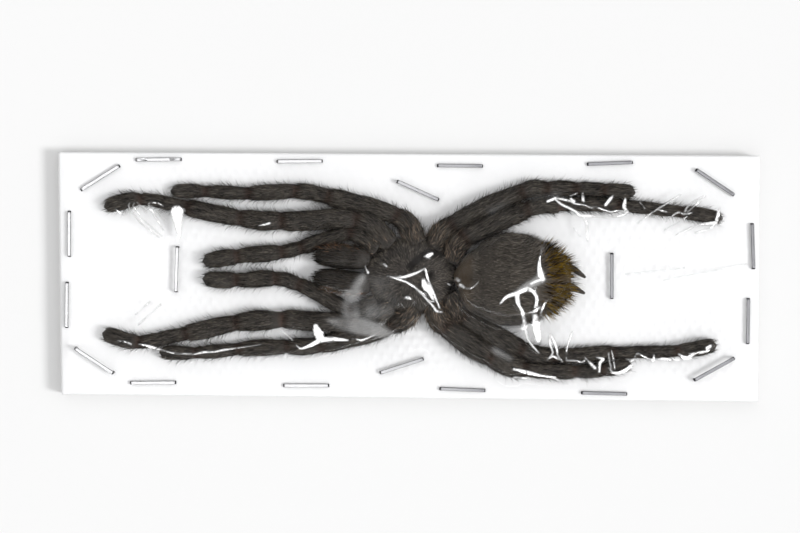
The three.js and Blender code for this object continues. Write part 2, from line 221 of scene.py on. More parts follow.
def placeGroup(tree, group, *values):
    # the values go to the group's inputs in order
    node = addNode(tree, "ShaderNodeGroup", node_tree=group)
    for target, value in zip(node.inputs, values):
        setSocket(tree, target, value)
    return node


def bumpInto(tree, shader, height, strength, distance):
    bump = addNode(tree, "ShaderNodeBump", {"Height": height, "Strength": strength, "Distance": distance})
    tree.links.new(bump.outputs[0], shader.inputs["Normal"])


def objectPlace(tree):
    return addNode(tree, "ShaderNodeTexCoord").outputs["Object"]


# the board's half height and its foam's, and colours
paperLook = {"middle": 2.5, "foamHalf": 2.28,
             "face": (0.82, 0.82, 0.82), "soiled": (0.77, 0.77, 0.765), "foam": (0.75, 0.75, 0.74)}


def makeBoardMaterial():
    material, tree, shader = newMaterial("paper faced foam board", Roughness=0.75)
    place = objectPlace(tree)
    flecks = placeGroup(tree, fleckGroup, place, 25.0, 1500.0, 0.5)
    paper = mixColour(tree, flecks.outputs["Mask"], paperLook["soiled"], paperLook["face"])
    # the cut edge shows the foam's cells between two thin paper faces
    cells = addNode(tree, "ShaderNodeTexVoronoi", {"Vector": place, "Scale": 2400.0}).outputs["Distance"]
    foam = mixColour(tree, cells, tuple(0.72 * value for value in paperLook["foam"]), paperLook["foam"])
    height = partOf(tree, place, 2)
    fromMiddle = addMath(tree, "ABSOLUTE", addMath(tree, "SUBTRACT", height, paperLook["middle"] * mm))
    inside = addMath(tree, "LESS_THAN", fromMiddle, paperLook["foamHalf"] * mm)
    tree.links.new(mixColour(tree, inside, paper, foam), shader.inputs["Base Color"])
    relief = plus(tree, times(tree, flecks.outputs["Height"], 0.3), times(tree, inside, cells))
    bumpInto(tree, shader, relief, 0.4, 0.12 * mm)
    return material


tissueLook = {"colour": (0.86, 0.86, 0.865), "thin": (0.8, 0.803, 0.81)}


def makeTissueMaterial():
    material, tree, shader = newMaterial("embossed tissue", Roughness=0.95, Specular_IOR_Level=0.1)
    place = objectPlace(tree)
    flecks = placeGroup(tree, fleckGroup, place, 45.0, 1300.0, 0.45)
    tree.links.new(mixColour(tree, flecks.outputs["Mask"], tissueLook["thin"], tissueLook["colour"]),
                   shader.inputs["Base Color"])
    fibres = fractal(tree, place, 2600.0, 6.0, 0.7)
    bumpInto(tree, shader, plus(tree, flecks.outputs["Height"], fibres), 0.35, 0.09 * mm)
    return material


filmLook = {"flatShare": 0.003, "paintedGlintShare": 0.92, "paintedHazeShare": 0.2, "roughness": 0.045, "paintedRoughness": 0.35}


def makeFilmMaterial():
    # clear film: it passes light straight on, and its faces mirror more of it the flatter the view;
    # along the creases a white painted highlight is laid on, and a few places carry white painted haze, a
    # painted reflection
    look = filmLook
    material, tree, shader = newMaterial("clear film", Metallic=1.0)
    shader.inputs["Base Color"].default_value = (1, 1, 1, 1)
    paintedGlint = readAttribute(tree, "paintedGlint")
    paintedHaze = readAttribute(tree, "paintedHaze")
    flat = look["flatShare"]
    straightOn = addMath(tree, "MULTIPLY_ADD", paintedGlint, look["paintedGlintShare"] - flat, flat)
    straightOn = addMath(tree, "MULTIPLY_ADD", paintedHaze, look["paintedHazeShare"] - flat, straightOn)
    # painted highlight on the creases and painted reflection haze: white, rough and not metallic there
    paintedGlintAndHaze = addMath(tree, "MAXIMUM", paintedGlint, times(tree, paintedHaze, 2.0))
    roughness = mapRange(tree, paintedGlintAndHaze, toLow=look["roughness"], toHigh=look["paintedRoughness"])
    tree.links.new(roughness, shader.inputs["Roughness"])
    tree.links.new(mapRange(tree, paintedGlintAndHaze, toLow=1.0, toHigh=0.0), shader.inputs["Metallic"])
    facing = addNode(tree, "ShaderNodeLayerWeight", {"Blend": 0.5}).outputs["Facing"]
    grazing = addMath(tree, "POWER", facing, 5.0)
    room = addMath(tree, "SUBTRACT", 1.0, straightOn)
    tree.links.new(addMath(tree, "MULTIPLY_ADD", grazing, room, straightOn), shader.inputs["Alpha"])
    scuffs = fractal(tree, objectPlace(tree), 260.0, 3.0, 0.5)
    bumpInto(tree, shader, scuffs, 0.05, 0.05 * mm)
    return material


# the darkest wire colour is painted shade on the rounded edges and bends
wireLook = {"bright": (0.95, 0.95, 0.96), "dull": (0.72, 0.72, 0.74), "edge": (0.02, 0.02, 0.022),
            # the greyer colour below is painted shade on the staples towards the rear
            "rearShadeColour": (0.3, 0.3, 0.32), "rearShadeFrom": (-0.03, 0.02), "rearShadeShare": 0.85,
            "roughness": (0.45, 0.28), "edgeShadeFrom": (0.72, 0.93)}


def makeWireMaterial():
    material, tree, shader = newMaterial("staple wire", Metallic=1.0)
    place = objectPlace(tree)
    flecks = placeGroup(tree, fleckGroup, place, 700.0, 4200.0, 0.35)
    mask = flecks.outputs["Mask"]
    face = mixColour(tree, mask, wireLook["dull"], wireLook["bright"])
    # the wires are painted darker towards the animal's rear end: painted shade where those staples mirror less
    # of the lamps
    paintedRearShade = mapRange(tree, partOf(tree, place, 0), *wireLook["rearShadeFrom"], 0.0, wireLook["rearShadeShare"])
    face = mixColour(tree, paintedRearShade, face, wireLook["rearShadeColour"])
    # the flat top of the wire keeps its bright colour, and its rounded edges and bends, turned away from
    # overhead, are painted dark: painted shade
    upward = partOf(tree, addNode(tree, "ShaderNodeNewGeometry").outputs["True Normal"], 2)
    level = mapRange(tree, upward, *wireLook["edgeShadeFrom"])
    tree.links.new(mixColour(tree, level, wireLook["edge"], face), shader.inputs["Base Color"])
    tree.links.new(mapRange(tree, mask, 0.0, 1.0, *wireLook["roughness"]), shader.inputs["Roughness"])
    bumpInto(tree, shader, flecks.outputs["Height"], 0.25, 0.03 * mm)
    return material


skinRoughness = (0.62 + 0.12, 0.62 - 0.1)  # of dark and of light skin


def makeCuticleMaterial(name, dark, light, crease):
    # the skin under the hair: streaked along its map, darker in creases, with a brown tint where it is thin,
    # and on the shield near black along a band as a painted dark reflection
    material, tree, shader = newMaterial(name)
    skinMap = readAttribute(tree, "skinMap", "Vector")
    thin = readAttribute(tree, "thin")
    strands = placeGroup(tree, strandGroup, skinMap, 2.2, 0.16, 0.9)
    flecks = placeGroup(tree, fleckGroup, objectPlace(tree), 220.0, 1600.0, 0.35)
    tone = addMath(tree, "MULTIPLY_ADD", strands.outputs["Mask"], 0.6,
                   times(tree, flecks.outputs["Mask"], 0.4))
    skin = mixColour(tree, tone, dark, light)
    tree.links.new(mixColour(tree, thin, skin, crease), shader.inputs["Base Color"])
    tree.links.new(mapRange(tree, tone, 0.0, 1.0, *skinRoughness), shader.inputs["Roughness"])
    relief = addMath(tree, "MULTIPLY_ADD", strands.outputs["Height"], 0.8, flecks.outputs["Height"])
    bumpInto(tree, shader, relief, 0.55, 0.12 * mm)
    return material


def makeHairMaterial(name, dark, light, least=0.3, most=0.74, shine=0.25, joint=None):
    # each hair has a tone of its own, in paler and darker locks, and the joints may be darker and redder
    material, tree, shader = newMaterial(name, Roughness=0.6, Specular_IOR_Level=shine)
    tone = readAttribute(tree, "tone")
    skinMap = readAttribute(tree, "skinMap", "Vector")
    locks = placeGroup(tree, strandGroup, skinMap, 5.0, 0.6, 1.6)
    flecks = placeGroup(tree, fleckGroup, objectPlace(tree), 190.0, 900.0, 0.3)
    mask = addMath(tree, "MULTIPLY_ADD", addMath(tree, "POWER", tone, 2.5), 0.5,
                   times(tree, flecks.outputs["Mask"], 0.25))
    mask = addMath(tree, "MULTIPLY_ADD", locks.outputs["Mask"], 0.45, mask)
    colour = mixColour(tree, mapRange(tree, mask, least, most), dark, light)
    if joint:
        thin = readAttribute(tree, "thin")
        colour = mixColour(tree, thin, colour, joint)
    tree.links.new(colour, shader.inputs["Base Color"])
    return material


def makeHornMaterial():
    material, tree, shader = newMaterial("black horn", Roughness=0.22, Coat_Weight=0.4, Coat_Roughness=0.1)
    flecks = placeGroup(tree, fleckGroup, objectPlace(tree), 500.0, 2500.0, 0.3)
    tree.links.new(mixColour(tree, flecks.outputs["Mask"], (0.008, 0.006, 0.005), (0.035, 0.018, 0.01)),
                   shader.inputs["Base Color"])
    return material


boardPaper = makeBoardMaterial()
tissuePaper = makeTissueMaterial()
clearFilm = makeFilmMaterial()
stapleWire = makeWireMaterial()
# skins as (dark, light, where it is thin or creased)
darkCuticle = makeCuticleMaterial("dark cuticle", (0.016, 0.013, 0.011), (0.045, 0.038, 0.032),
                                  (0.05, 0.026, 0.016))
# the shield's last colour, near black, darkens its pit and paints the dark band, a painted dark reflection of
# the film
shieldCuticle = makeCuticleMaterial("shield cuticle", (0.02, 0.016, 0.0135), (0.045, 0.038, 0.033),
                                    (0.006, 0.0036, 0.0025))
tailCuticle = makeCuticleMaterial("tail cuticle", (0.016, 0.012, 0.008), (0.05, 0.04, 0.03),
                                  (0.06, 0.035, 0.012))
brownHair = makeHairMaterial("brown hair", (0.0032, 0.0028, 0.0023), (0.125, 0.109, 0.09),
                             joint=(0.016, 0.0085, 0.0055))
paleHair = makeHairMaterial("pale brown hair", (0.007, 0.006, 0.005), (0.195, 0.17, 0.14))
darkHair = makeHairMaterial("dark hair", (0.003, 0.0025, 0.002), (0.05, 0.041, 0.031), 0.34, 0.82, 0.12)
tanHair = makeHairMaterial("tan hair", (0.02, 0.014, 0.01), (0.3, 0.225, 0.165))
goldHair = makeHairMaterial("golden hair", (0.0035, 0.002, 0.0003), (0.23, 0.138, 0.011), 0.4, 0.88, 0.03)
rustHair = makeHairMaterial("rust hair", (0.03, 0.015, 0.008), (0.26, 0.14, 0.075))
blackHorn = makeHornMaterial()
print("finishes made")


noiseSeed = np.random.default_rng(7)
noiseWaves = noiseSeed.normal(size=(3, 24))
noisePhases = noiseSeed.uniform(0, 2 * math.pi, 24)


def waviness(points, size):
    # a smooth field between about -1 and 1 whose bumps are roughly the given size across
    turned = np.asarray(points, dtype=float) @ (noiseWaves * (2.2 / size)) + noisePhases
    return np.sin(turned).sum(axis=-1) / 4.5


def smoothRoute(points, spacing):
    # a smooth line through the points, at even steps, and the distance of each given point along it
    points = np.asarray(points, dtype=float)
    padded = np.vstack([2 * points[0] - points[1], points, 2 * points[-1] - points[-2]])
    fine, marks = [], [0]
    for a, b, c, d in zip(padded, padded[1:], padded[2:], padded[3:]):
        for share in np.linspace(0, 1, 40, endpoint=False):
            fine.append(0.5 * (2 * b + (c - a) * share + (2 * a - 5 * b + 4 * c - d) * share ** 2
                               + (3 * b - a - 3 * c + d) * share ** 3))
        marks.append(len(fine))
    fine = np.array(fine + [points[-1]])
    distance = np.concatenate([[0], np.cumsum(np.linalg.norm(np.diff(fine, axis=0), axis=1))])
    even = np.linspace(0, distance[-1], max(3, round(distance[-1] / spacing)) + 1)
    line = np.stack([np.interp(even, distance, fine[:, axis]) for axis in range(fine.shape[1])], axis=1)
    return line, even, distance[marks]


def bell(distance, reach):
    return np.exp(-(distance / reach) ** 2)


def evened(widths, weights=(0.2,) * 5, **padding):
    return np.convolve(np.pad(widths, 2, **(padding or {"mode": "edge"})), weights, "valid")


def roundPlace(centres, angle, radius, sideways=0.0):
    # places round a line, for a waviness that has no seam
    across, upward = sideways + radius * np.cos(angle), radius * np.sin(angle)
    return np.stack(np.broadcast_arrays(centres[:, :1], across, upward), axis=-1)


def tangentsOf(line):
    steps = np.gradient(line, axis=0)
    return steps / np.linalg.norm(steps, axis=1, keepdims=True)


def ringFaces(rings, sides, start=0):
    # quads between rings that close round, and a fan to a pole at each end
    faces = []
    for ring in range(rings - 1):
        low = start + ring * sides
        for side in range(sides):
            after = (side + 1) % sides
            faces.append((low + side, low + after, low + sides + after, low + sides + side))
    first, last = start + rings * sides, start + rings * sides + 1
    for side in range(sides):
        after = (side + 1) % sides
        faces.append((first, start + after, start + side))
        faces.append((last, start + (rings - 1) * sides + side, start + (rings - 1) * sides + after))
    return faces


def loft(line, across, upward, sides, squareness=1.0, bumps=None):
    # a closed tube round a line, with its half width and half height at each station
    tangent = tangentsOf(line)
    side = np.cross(tangent, (0, 0, 1.0))
    side /= np.linalg.norm(side, axis=1, keepdims=True)
    rise = np.cross(side, tangent)
    angle = np.linspace(0, 2 * math.pi, sides, endpoint=False)
    cosine = np.sign(np.cos(angle)) * np.abs(np.cos(angle)) ** squareness
    sine = np.sign(np.sin(angle)) * np.abs(np.sin(angle)) ** squareness
    swell = np.ones((len(line), sides)) if bumps is None else bumps(line, angle)
    points = (line[:, None, :] + side[:, None, :] * (across[:, None] * cosine * swell)[:, :, None]
              + rise[:, None, :] * (upward[:, None] * sine * swell)[:, :, None])
    points = np.vstack([points.reshape(-1, 3), line[:1] - tangent[:1] * 0.05, line[-1:] + tangent[-1:] * 0.05])
    grow = np.vstack([np.repeat(tangent, sides, axis=0), tangent[:1], tangent[-1:]])
    reach = np.concatenate([[0], np.cumsum(np.linalg.norm(np.diff(line, axis=0), axis=1))])
    wrap = np.abs(((angle + math.pi) % (2 * math.pi)) - math.pi)  # the same on both sides, so no seam shows
    skinMap = np.stack([np.repeat(reach, sides), (across[:, None] * wrap[None, :]).ravel(),
                        np.zeros(len(line) * sides)], axis=1)
    skinMap = np.vstack([skinMap, (0, 0, 0), (reach[-1], 0, 0)])
    # no hair underneath
    hairy = np.append(np.tile(np.clip((np.sin(angle) + 0.55) / 0.25, 0, 1), len(line)), (0, 0))
    edge = np.append(np.tile(np.cos(angle) ** 2, len(line)), (1, 1))
    return {"points": points, "faces": ringFaces(len(line), sides), "grow": grow, "skinMap": skinMap,
            "thin": np.zeros(len(points)), "hairy": hairy, "edge": edge}


skinData = ("grow", "skinMap", "thin", "hairy")  # what each point of a shell carries into its mesh


def joinShells(*shells):
    joined = {key: np.concatenate([shell[key] for shell in shells]) for key in ("points", *skinData)}
    joined["faces"], start = [], 0
    for shell in shells:
        joined["faces"] += [tuple(corner + start for corner in face) for face in shell["faces"]]
        start += len(shell["points"])
    return joined


def shellObject(name, shell, material):
    kept = {key: shell[key] for key in skinData}
    thing = makeObject(name, makeMesh(name, shell["points"], shell["faces"], True, kept), material)
    faceOutward(thing.data)
    return thing


def pointsOf(thing):
    # a mesh's vertices, in millimetres
    points = np.empty(len(thing.data.vertices) * 3)
    thing.data.vertices.foreach_get("co", points)
    return points.reshape(-1, 3) / mm


def nodePoints(name):
    return pointsOf(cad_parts[name])


def flatPlace(x, y):
    return np.stack([x, y, np.zeros_like(x)], axis=-1)


# the board: a hand-cut slab of foam between paper faces
boardLook = {"step": 1.4, "paper": 0.3, "foamStart": 0.42, "cutWander": 0.12, "foamSunk": 0.09,
             "rounding": 0.16, "nickFrom": 90, "nickAt": 2.0, "nickDepth": 0.7, "nickLength": 1.1}


def cornersOf(name):
    # the four outer corners of a flat frame node, counter-clockwise from the head's left-hand one
    points = nodePoints(name)[:, :2]
    return [points[np.argmax(points @ direction)] for direction in ((-1, -1), (1, -1), (1, 1), (-1, 1))]


def boardOutline():
    corners = cornersOf("backing_board")
    edge = []
    for start, end in zip(corners, corners[1:] + corners[:1]):
        steps = int(np.linalg.norm(end - start) / boardLook["step"])
        for share in np.linspace(0, 1, steps, endpoint=False):
            edge.append(start + (end - start) * share)
    edge = np.array(edge)
    middle = edge.mean(axis=0)
    inward = (middle - edge) / np.linalg.norm(middle - edge, axis=1, keepdims=True)
    wander = (0.5 + 0.5 * waviness(np.column_stack([edge, np.zeros(len(edge))]), 14)) * boardLook["cutWander"]
    nick = np.abs(edge[:, 1] - boardLook["nickAt"]) / boardLook["nickLength"]
    nick = boardLook["nickDepth"] * np.clip(1 - nick, 0, 1) * (edge[:, 0] > boardLook["nickFrom"])
    return edge, inward, wander + nick


def makeBoard():
    edge, inward, offset = boardOutline()
    top = nodePoints("backing_board")[:, 2].max()
    r = boardLook["rounding"]
    # height and inward step of each ring, from the underside up: crisp paper faces, the foam a little sunk
    paper, foamStart, sunk = boardLook["paper"], boardLook["foamStart"], boardLook["foamSunk"]
    profile = [(0.0, r), (r * 0.4, r * 0.3), (paper, 0), (foamStart, sunk), (top / 2, sunk * 1.6),
               (top - foamStart, sunk), (top - paper, 0), (top - r * 0.4, r * 0.3), (top, r)]
    points = []
    for height, step in profile:
        ring = edge + inward * (offset + step)[:, None]
        if paper < height < top - paper:
            rough = 0.05 * waviness(np.column_stack([ring * 3, np.full(len(ring), height * 9)]), 3)
            ring = ring + inward * rough[:, None]
        points.append(np.column_stack([ring, np.full(len(ring), height)]))
    count = len(edge)
    faces = []
    for low in range(0, (len(profile) - 1) * count, count):
        for i in range(count):
            j = (i + 1) % count
            faces.append((low + i, low + j, low + count + j, low + count + i))
    faces.append(list(range(count))[::-1])
    faces.append([(len(profile) - 1) * count + i for i in range(count)])
    mesh = makeMesh("board_piece", np.vstack(points), faces, smooth=False)
    return finishPiece(makeObject("board_piece", mesh, boardPaper), "backing_board")


board = makeBoard()
print("board made")


# lattices that follow the board's four-sided outline
def edgeLattice(name, inset, pitch):
    headLow, tailLow, tailHigh, headHigh = [np.array(corner) for corner in cornersOf(name)]
    headLow, tailLow = headLow + (inset, inset), tailLow + (-inset, inset)
    tailHigh, headHigh = tailHigh - (inset, inset), headHigh + (inset, -inset)
    columns = round((tailLow[0] - headLow[0]) / pitch)
    rows = round((tailHigh[1] - tailLow[1]) / pitch)
    v, u = np.meshgrid(np.linspace(0, 1, rows + 1), np.linspace(0, 1, columns + 1), indexing="ij")
    u, v = u[..., None], v[..., None]
    flat = (headLow * (1 - u) + tailLow * u) * (1 - v) + (headHigh * (1 - u) + tailHigh * u) * v
    return flat[..., 0], flat[..., 1]


def latticeFaces(rows, columns, start=0, flipped=False):
    index = start + np.arange(rows * columns).reshape(rows, columns)
    corners = [index[:-1, :-1], index[:-1, 1:], index[1:, 1:], index[1:, :-1]]
    faces = np.stack([corner.ravel() for corner in corners], axis=1)
    return faces[:, ::-1] if flipped else faces


def thinSheetMesh(name, x, y, top, bottom):
    # a closed sheet: its top, its underside and a rim
    rows, columns = x.shape
    size = rows * columns
    points = np.concatenate([np.stack([x, y, face], axis=-1).reshape(-1, 3) for face in (top, bottom)])
    index = np.arange(size).reshape(rows, columns)
    rim = np.concatenate([index[0, :-1], index[:-1, -1], index[-1, :0:-1], index[:0:-1, 0]])
    after = np.roll(rim, -1)
    sides = np.stack([rim, rim + size, after + size, after], axis=1)
    faces = np.concatenate([latticeFaces(rows, columns), latticeFaces(rows, columns, size, True), sides])
    return makeMesh(name, points, faces)


# the tissue, embossed all over and creased by what lies on it
tissueSheet = {"pitch": 0.6, "inset": -0.45, "boss": 2.55, "ridges": (0.87, 0.5), "height": 0.3,
               "rumple": 0.16, "thickness": 0.35,
               "least": 0.08, "bottom": 5.02, "rimHeight": 5.22, "rimReach": 3.0,
               "calm": (101, 36, 14)}  # half length, half width and reach of the calmer edge


def rimRise(x, y):
    # 0 at the board's edge, rising to 1 a little way in: the film draws the tissue down all round
    corners = cornersOf("backing_board")
    nearest = np.full(x.shape, 99.0)
    for (ax, ay), (bx, by) in zip(corners, corners[1:] + corners[:1]):
        length = math.hypot(bx - ax, by - ay)
        nearest = np.minimum(nearest, ((bx - ax) * (y - ay) - (by - ay) * (x - ax)) / length)
    return np.sin(np.clip(nearest / tissueSheet["rimReach"], 0, 1) * math.pi / 2)


def makeTissue():
    x, y = edgeLattice("tissue_pad", tissueSheet["inset"], tissueSheet["pitch"])
    top = nodePoints("tissue_pad")[:, 2].max()
    place = flatPlace(x, y)
    wobble = 0.5 * waviness(place, 22)
    turn = 2 * math.pi / tissueSheet["boss"]
    # two crossing sets of ridges leave a field of small pillows
    acrossX, acrossY = tissueSheet["ridges"]
    first = np.cos((x * acrossX + y * acrossY + wobble) * turn)
    second = np.cos((x * -acrossX + y * acrossY + wobble * 0.7) * turn)
    pillows = np.clip(0.5 + 0.5 * first * second + 0.22 * (first + second), 0, 1) ** 1.3
    pressed = 0.55 + 0.45 * np.clip(waviness(place, 30) + 0.3, -1, 1)
    # flatter towards the edges, where the film pulls hard on it
    halfLength, halfWidth, reach = tissueSheet["calm"]
    fromEdge = np.minimum(halfWidth - np.abs(y), halfLength - np.abs(x))
    pressed *= 0.35 + 0.65 * np.clip(fromEdge / reach, 0, 1)
    surface = top - 0.12 - tissueSheet["height"] * (1 - pillows) * pressed
    surface += tissueSheet["rumple"] * (waviness(place, 9) - 1) * 0.5 * pressed
    rise = rimRise(x, y)
    surface = tissueSheet["rimHeight"] * (1 - rise) + surface * rise
    bottom = np.maximum(surface - tissueSheet["thickness"], tissueSheet["bottom"])
    mesh = thinSheetMesh("tissue_piece", x, y, surface, np.minimum(bottom, surface - tissueSheet["least"]))
    return finishPiece(makeObject("tissue_piece", mesh, tissuePaper), "tissue_pad"), surface.max()


tissue, tissueTop = makeTissue()
print("tissue made")


# the animal's limbs
restHeight = 5.9
limbRoutes = {
    "leg_1_right": [(-4.9, 9.2), (-14.8, 16.2), (-36.3, 16.2), (-48.4, 16.9), (-63.8, 20.0), (-77.4, 22.4),
        (-88.2, 20.2)],
    "leg_2_right": [(2.6, 9.5), (-3.2, 17.3), (-22.9, 23.1), (-32.5, 24.7), (-46.1, 24.2), (-58.6, 24.7),
        (-69.0, 24.9)],
    "leg_3_right": [(6.9, 8.2), (11.8, 14.8), (32.2, 24.5), (39.7, 25.5), (48.1, 25.5), (56.3, 25.2),
        (65.5, 24.3)],
    "leg_4_right": [(12.2, 3.8), (15.7, 10.9), (33.7, 19.4), (43.8, 20.8), (60.6, 20.7), (78.6, 18.8),
        (90.8, 16.9)],
    "leg_1_left": [(-4.9, -8.2), (-14.8, -13.1), (-36.3, -12.4), (-49.6, -13.4), (-64.1, -16.3),
        (-78.0, -18.8), (-88.7, -16.3)],
    "leg_2_left": [(2.0, -8.5), (-4.9, -13.9), (-25.2, -19.5), (-34.8, -20.1), (-49.0, -20.9), (-61.5, -22.1),
        (-72.2, -21.8)],
    "leg_3_left": [(6.3, -7.4), (10.2, -14.1), (23.4, -22.9), (33.2, -26.6), (47.6, -27.3), (55.7, -26.9),
        (64.4, -25.3)],
    "leg_4_left": [(12.0, -4.6), (15.5, -11.0), (32.3, -20.7), (41.8, -22.9), (58.6, -22.0), (77.4, -21.5),
        (89.0, -19.8)],
    "palp_right": [(-9.0, 7.8), (-16.5, 12.6), (-30.7, 8.6), (-36.3, 7.3), (-49.3, 5.9), (-59.7, 4.4)],
    "palp_left": [(-9.0, -7.3), (-16.5, -9.6), (-31.3, -2.4), (-38.3, -0.5), (-49.6, -0.9), (-59.7, -0.6)],
}
# half widths of each segment from the body out
limbWidths = {
    "leg_1_right": [3.2, 2.9, 2.6, 2.5, 1.85, 2.15],
    "leg_1_left": [3.2, 2.8, 2.6, 2.5, 1.85, 2.15],
    "leg_2_right": [3.1, 2.7, 2.3, 2.15, 1.8, 1.85],
    "leg_2_left": [3.1, 2.7, 2.3, 2.15, 1.8, 1.85],
    "leg_3_right": [3.1, 2.6, 2.4, 2.1, 1.9, 1.95],
    "leg_3_left": [3.2, 3.15, 2.95, 2.1, 1.9, 1.95],
    "leg_4_right": [3.4, 3.15, 2.45, 2.05, 1.7, 1.95],
    "leg_4_left": [3.3, 2.75, 2.4, 2.05, 1.7, 1.95],
    "palp_right": [2.7, 2.2, 2.0, 2.15, 2.3],
    "palp_left": [2.7, 2.2, 2.0, 2.15, 2.3],
}
# smooth, hairless stretches as (x, half length)
bareBands = {"leg_1_left": (-37.6, 2.4), "leg_4_right": (43.0, 1.3), "leg_3_left": (47.4, 0.9)}
limbLook = {"sides": 26, "spacing": 0.75, "flatness": 0.84, "waist": 0.84, "grooveDepth": 0.13,
            "grooveReach": 0.7, "tintReach": 1.1, "fold": 0.05, "dent": 0.06, "hipHeight": 10.2,
            "tipRounding": 3.0}


def limbShell(name):
    widths = limbWidths[name]
    joints = []
    for i, (x, y) in enumerate(limbRoutes[name]):
        resting = restHeight + widths[min(i, len(widths) - 1)] * limbLook["flatness"]
        height = (limbLook["hipHeight"], (limbLook["hipHeight"] + resting) / 2)[i] if i < 2 else resting
        joints.append((x, y, height))
    line, reach, marks = smoothRoute(joints, limbLook["spacing"])
    segment = np.clip(np.searchsorted(marks, reach, side="right") - 1, 0, len(widths) - 1)
    share = (reach - marks[segment]) / (marks[segment + 1] - marks[segment])
    swell = limbLook["waist"] + (1 - limbLook["waist"]) * np.sin(math.pi * np.clip(share, 0, 1)) ** 0.7
    radius = np.array(widths)[segment] * swell
    radius = evened(radius, (0.1, 0.2, 0.4, 0.2, 0.1))
    nearest = np.min(np.abs(reach[:, None] - marks[None, 1:-1]), axis=1)
    groove = bell(nearest, limbLook["grooveReach"])
    fromTip = np.clip((reach[-1] - reach) / limbLook["tipRounding"], 0, 1)
    radius = radius * (1 - limbLook["grooveDepth"] * groove) * (0.12 + 0.88 * np.sqrt(1 - (1 - fromTip) ** 2))
    phase = sum(map(ord, name))

    def folds(centres, angle):
        # the skin sank in long folds between the muscles as it dried
        ripple = np.sin(angle * 3 + phase + centres[:, :1] * 0.05) + 0.6 * np.sin(angle * 5 - phase)
        lumps = waviness(roundPlace(centres, angle, 3, centres[:, 1:2]), 5)
        return 1 + limbLook["fold"] * ripple * 0.5 + limbLook["dent"] * lumps

    shell = loft(line, radius, radius * limbLook["flatness"], limbLook["sides"], 0.92, folds)
    shell["points"][:, 2] = np.maximum(shell["points"][:, 2], restHeight)
    shell["thin"][:-2] = np.repeat(bell(nearest, limbLook["tintReach"]), limbLook["sides"])
    shell["hairy"][:-2] *= np.repeat(0.25 + 0.75 * fromTip, limbLook["sides"])
    if name in bareBands:
        middle, half = bareBands[name]
        shell["hairy"] *= np.clip(np.abs(shell["points"][:, 0] - middle) - half + 1, 0, 1)
    return shell


animal = {name: limbShell(name) for name in limbRoutes}


# the front body, with its eyes, and the abdomen
# spokesAt says how far from the pit the spoke furrows are deepest, and over what reach
shieldLook = {"centre": (0.3, 0.3), "halfLength": 13.4, "halfWidth": 11.0, "headNarrowing": 0.34, "top": 14.4,
              "rim": 9.6, "bottom": 6.5, "pit": (5.6, 0.6), "pitDepth": 1.0, "grooveDepth": 0.45,
              "spokes": (0.55, 1.25, 1.95, 2.5), "spokeWidth": 0.7, "spokesAt": (6.0, 4.5),
              "eyeMound": (-12.0, 2.2), "moundHeight": 0.9, "rings": 30, "sides": 96, "wrinkle": (0.16, 3.2),
              # eyes as (x, y, radius) from the middle of their mound, each also mirrored
              "eyes": ((-0.15, 0.42, 0.24), (-0.55, 1.0, 0.2), (0.45, 1.05, 0.17), (0.55, 0.62, 0.12)),
              # the line of a band on the shield painted dark, a painted dark reflection of the film, and bare
              # of hair
              "paintedDarkBand": [(0.2, 2.9), (2.0, 4.6), (4.4, 6.4), (7.0, 6.9), (9.4, 6.4)]}


def planShell(look, outline, topAt, bottomAt):
    # rings from the middle of the top out to the rim, and back in underneath to the middle of the underside
    angle = np.linspace(0, 2 * math.pi, look["sides"], endpoint=False)
    shares = np.sin(np.linspace(0, math.pi / 2, look["rings"] + 1)[1:])
    rings = []
    for share in shares:
        x, y = outline(angle, share)
        rings.append(np.stack([x, y, topAt(x, y, share)], axis=-1))
    for share in shares[-2::-1]:
        x, y = outline(angle, share)
        rings.append(np.stack([x, y, bottomAt(x, y, share)], axis=-1))
    middle = outline(np.zeros(1), 0.0)
    poles = [np.concatenate([*middle, np.ravel(heightAt(*middle, 0.0))]) for heightAt in (topAt, bottomAt)]
    points = np.vstack([np.concatenate(rings), poles])
    faces = [face[::-1] for face in ringFaces(len(rings), look["sides"])]
    out = points[:, :2] - points[-2, :2]
    length = np.linalg.norm(out, axis=1, keepdims=True) + 1e-6
    grow = np.column_stack([out / length, np.full(len(points), -0.1)])
    skinMap = flatPlace(length[:, 0], 4.0 * np.abs(np.arctan2(out[:, 1], out[:, 0])))
    return {"points": points, "faces": faces, "grow": grow, "skinMap": skinMap, "thin": np.zeros(len(points)),
            "hairy": np.ones(len(points))}


def bead(centre, radius, sides=10):
    heights = np.linspace(-0.96, 0.96, 7)
    line = np.array([(centre[0], centre[1], centre[2] + radius * height) for height in heights])
    width = radius * np.sqrt(1 - heights ** 2)
    angle = np.linspace(0, 2 * math.pi, sides, endpoint=False)
    points = line[:, None, :] + flatPlace(np.cos(angle), np.sin(angle))[None] * width[:, None, None]
    cap = (0, 0, 0.04 * radius)
    points = np.vstack([points.reshape(-1, 3), line[:1] - cap, line[-1:] + cap])
    many = len(points)
    return {"points": points, "faces": ringFaces(len(line), sides), "grow": np.zeros((many, 3)),
            "skinMap": np.zeros((many, 3)), "thin": np.zeros(many), "hairy": np.zeros(many)}


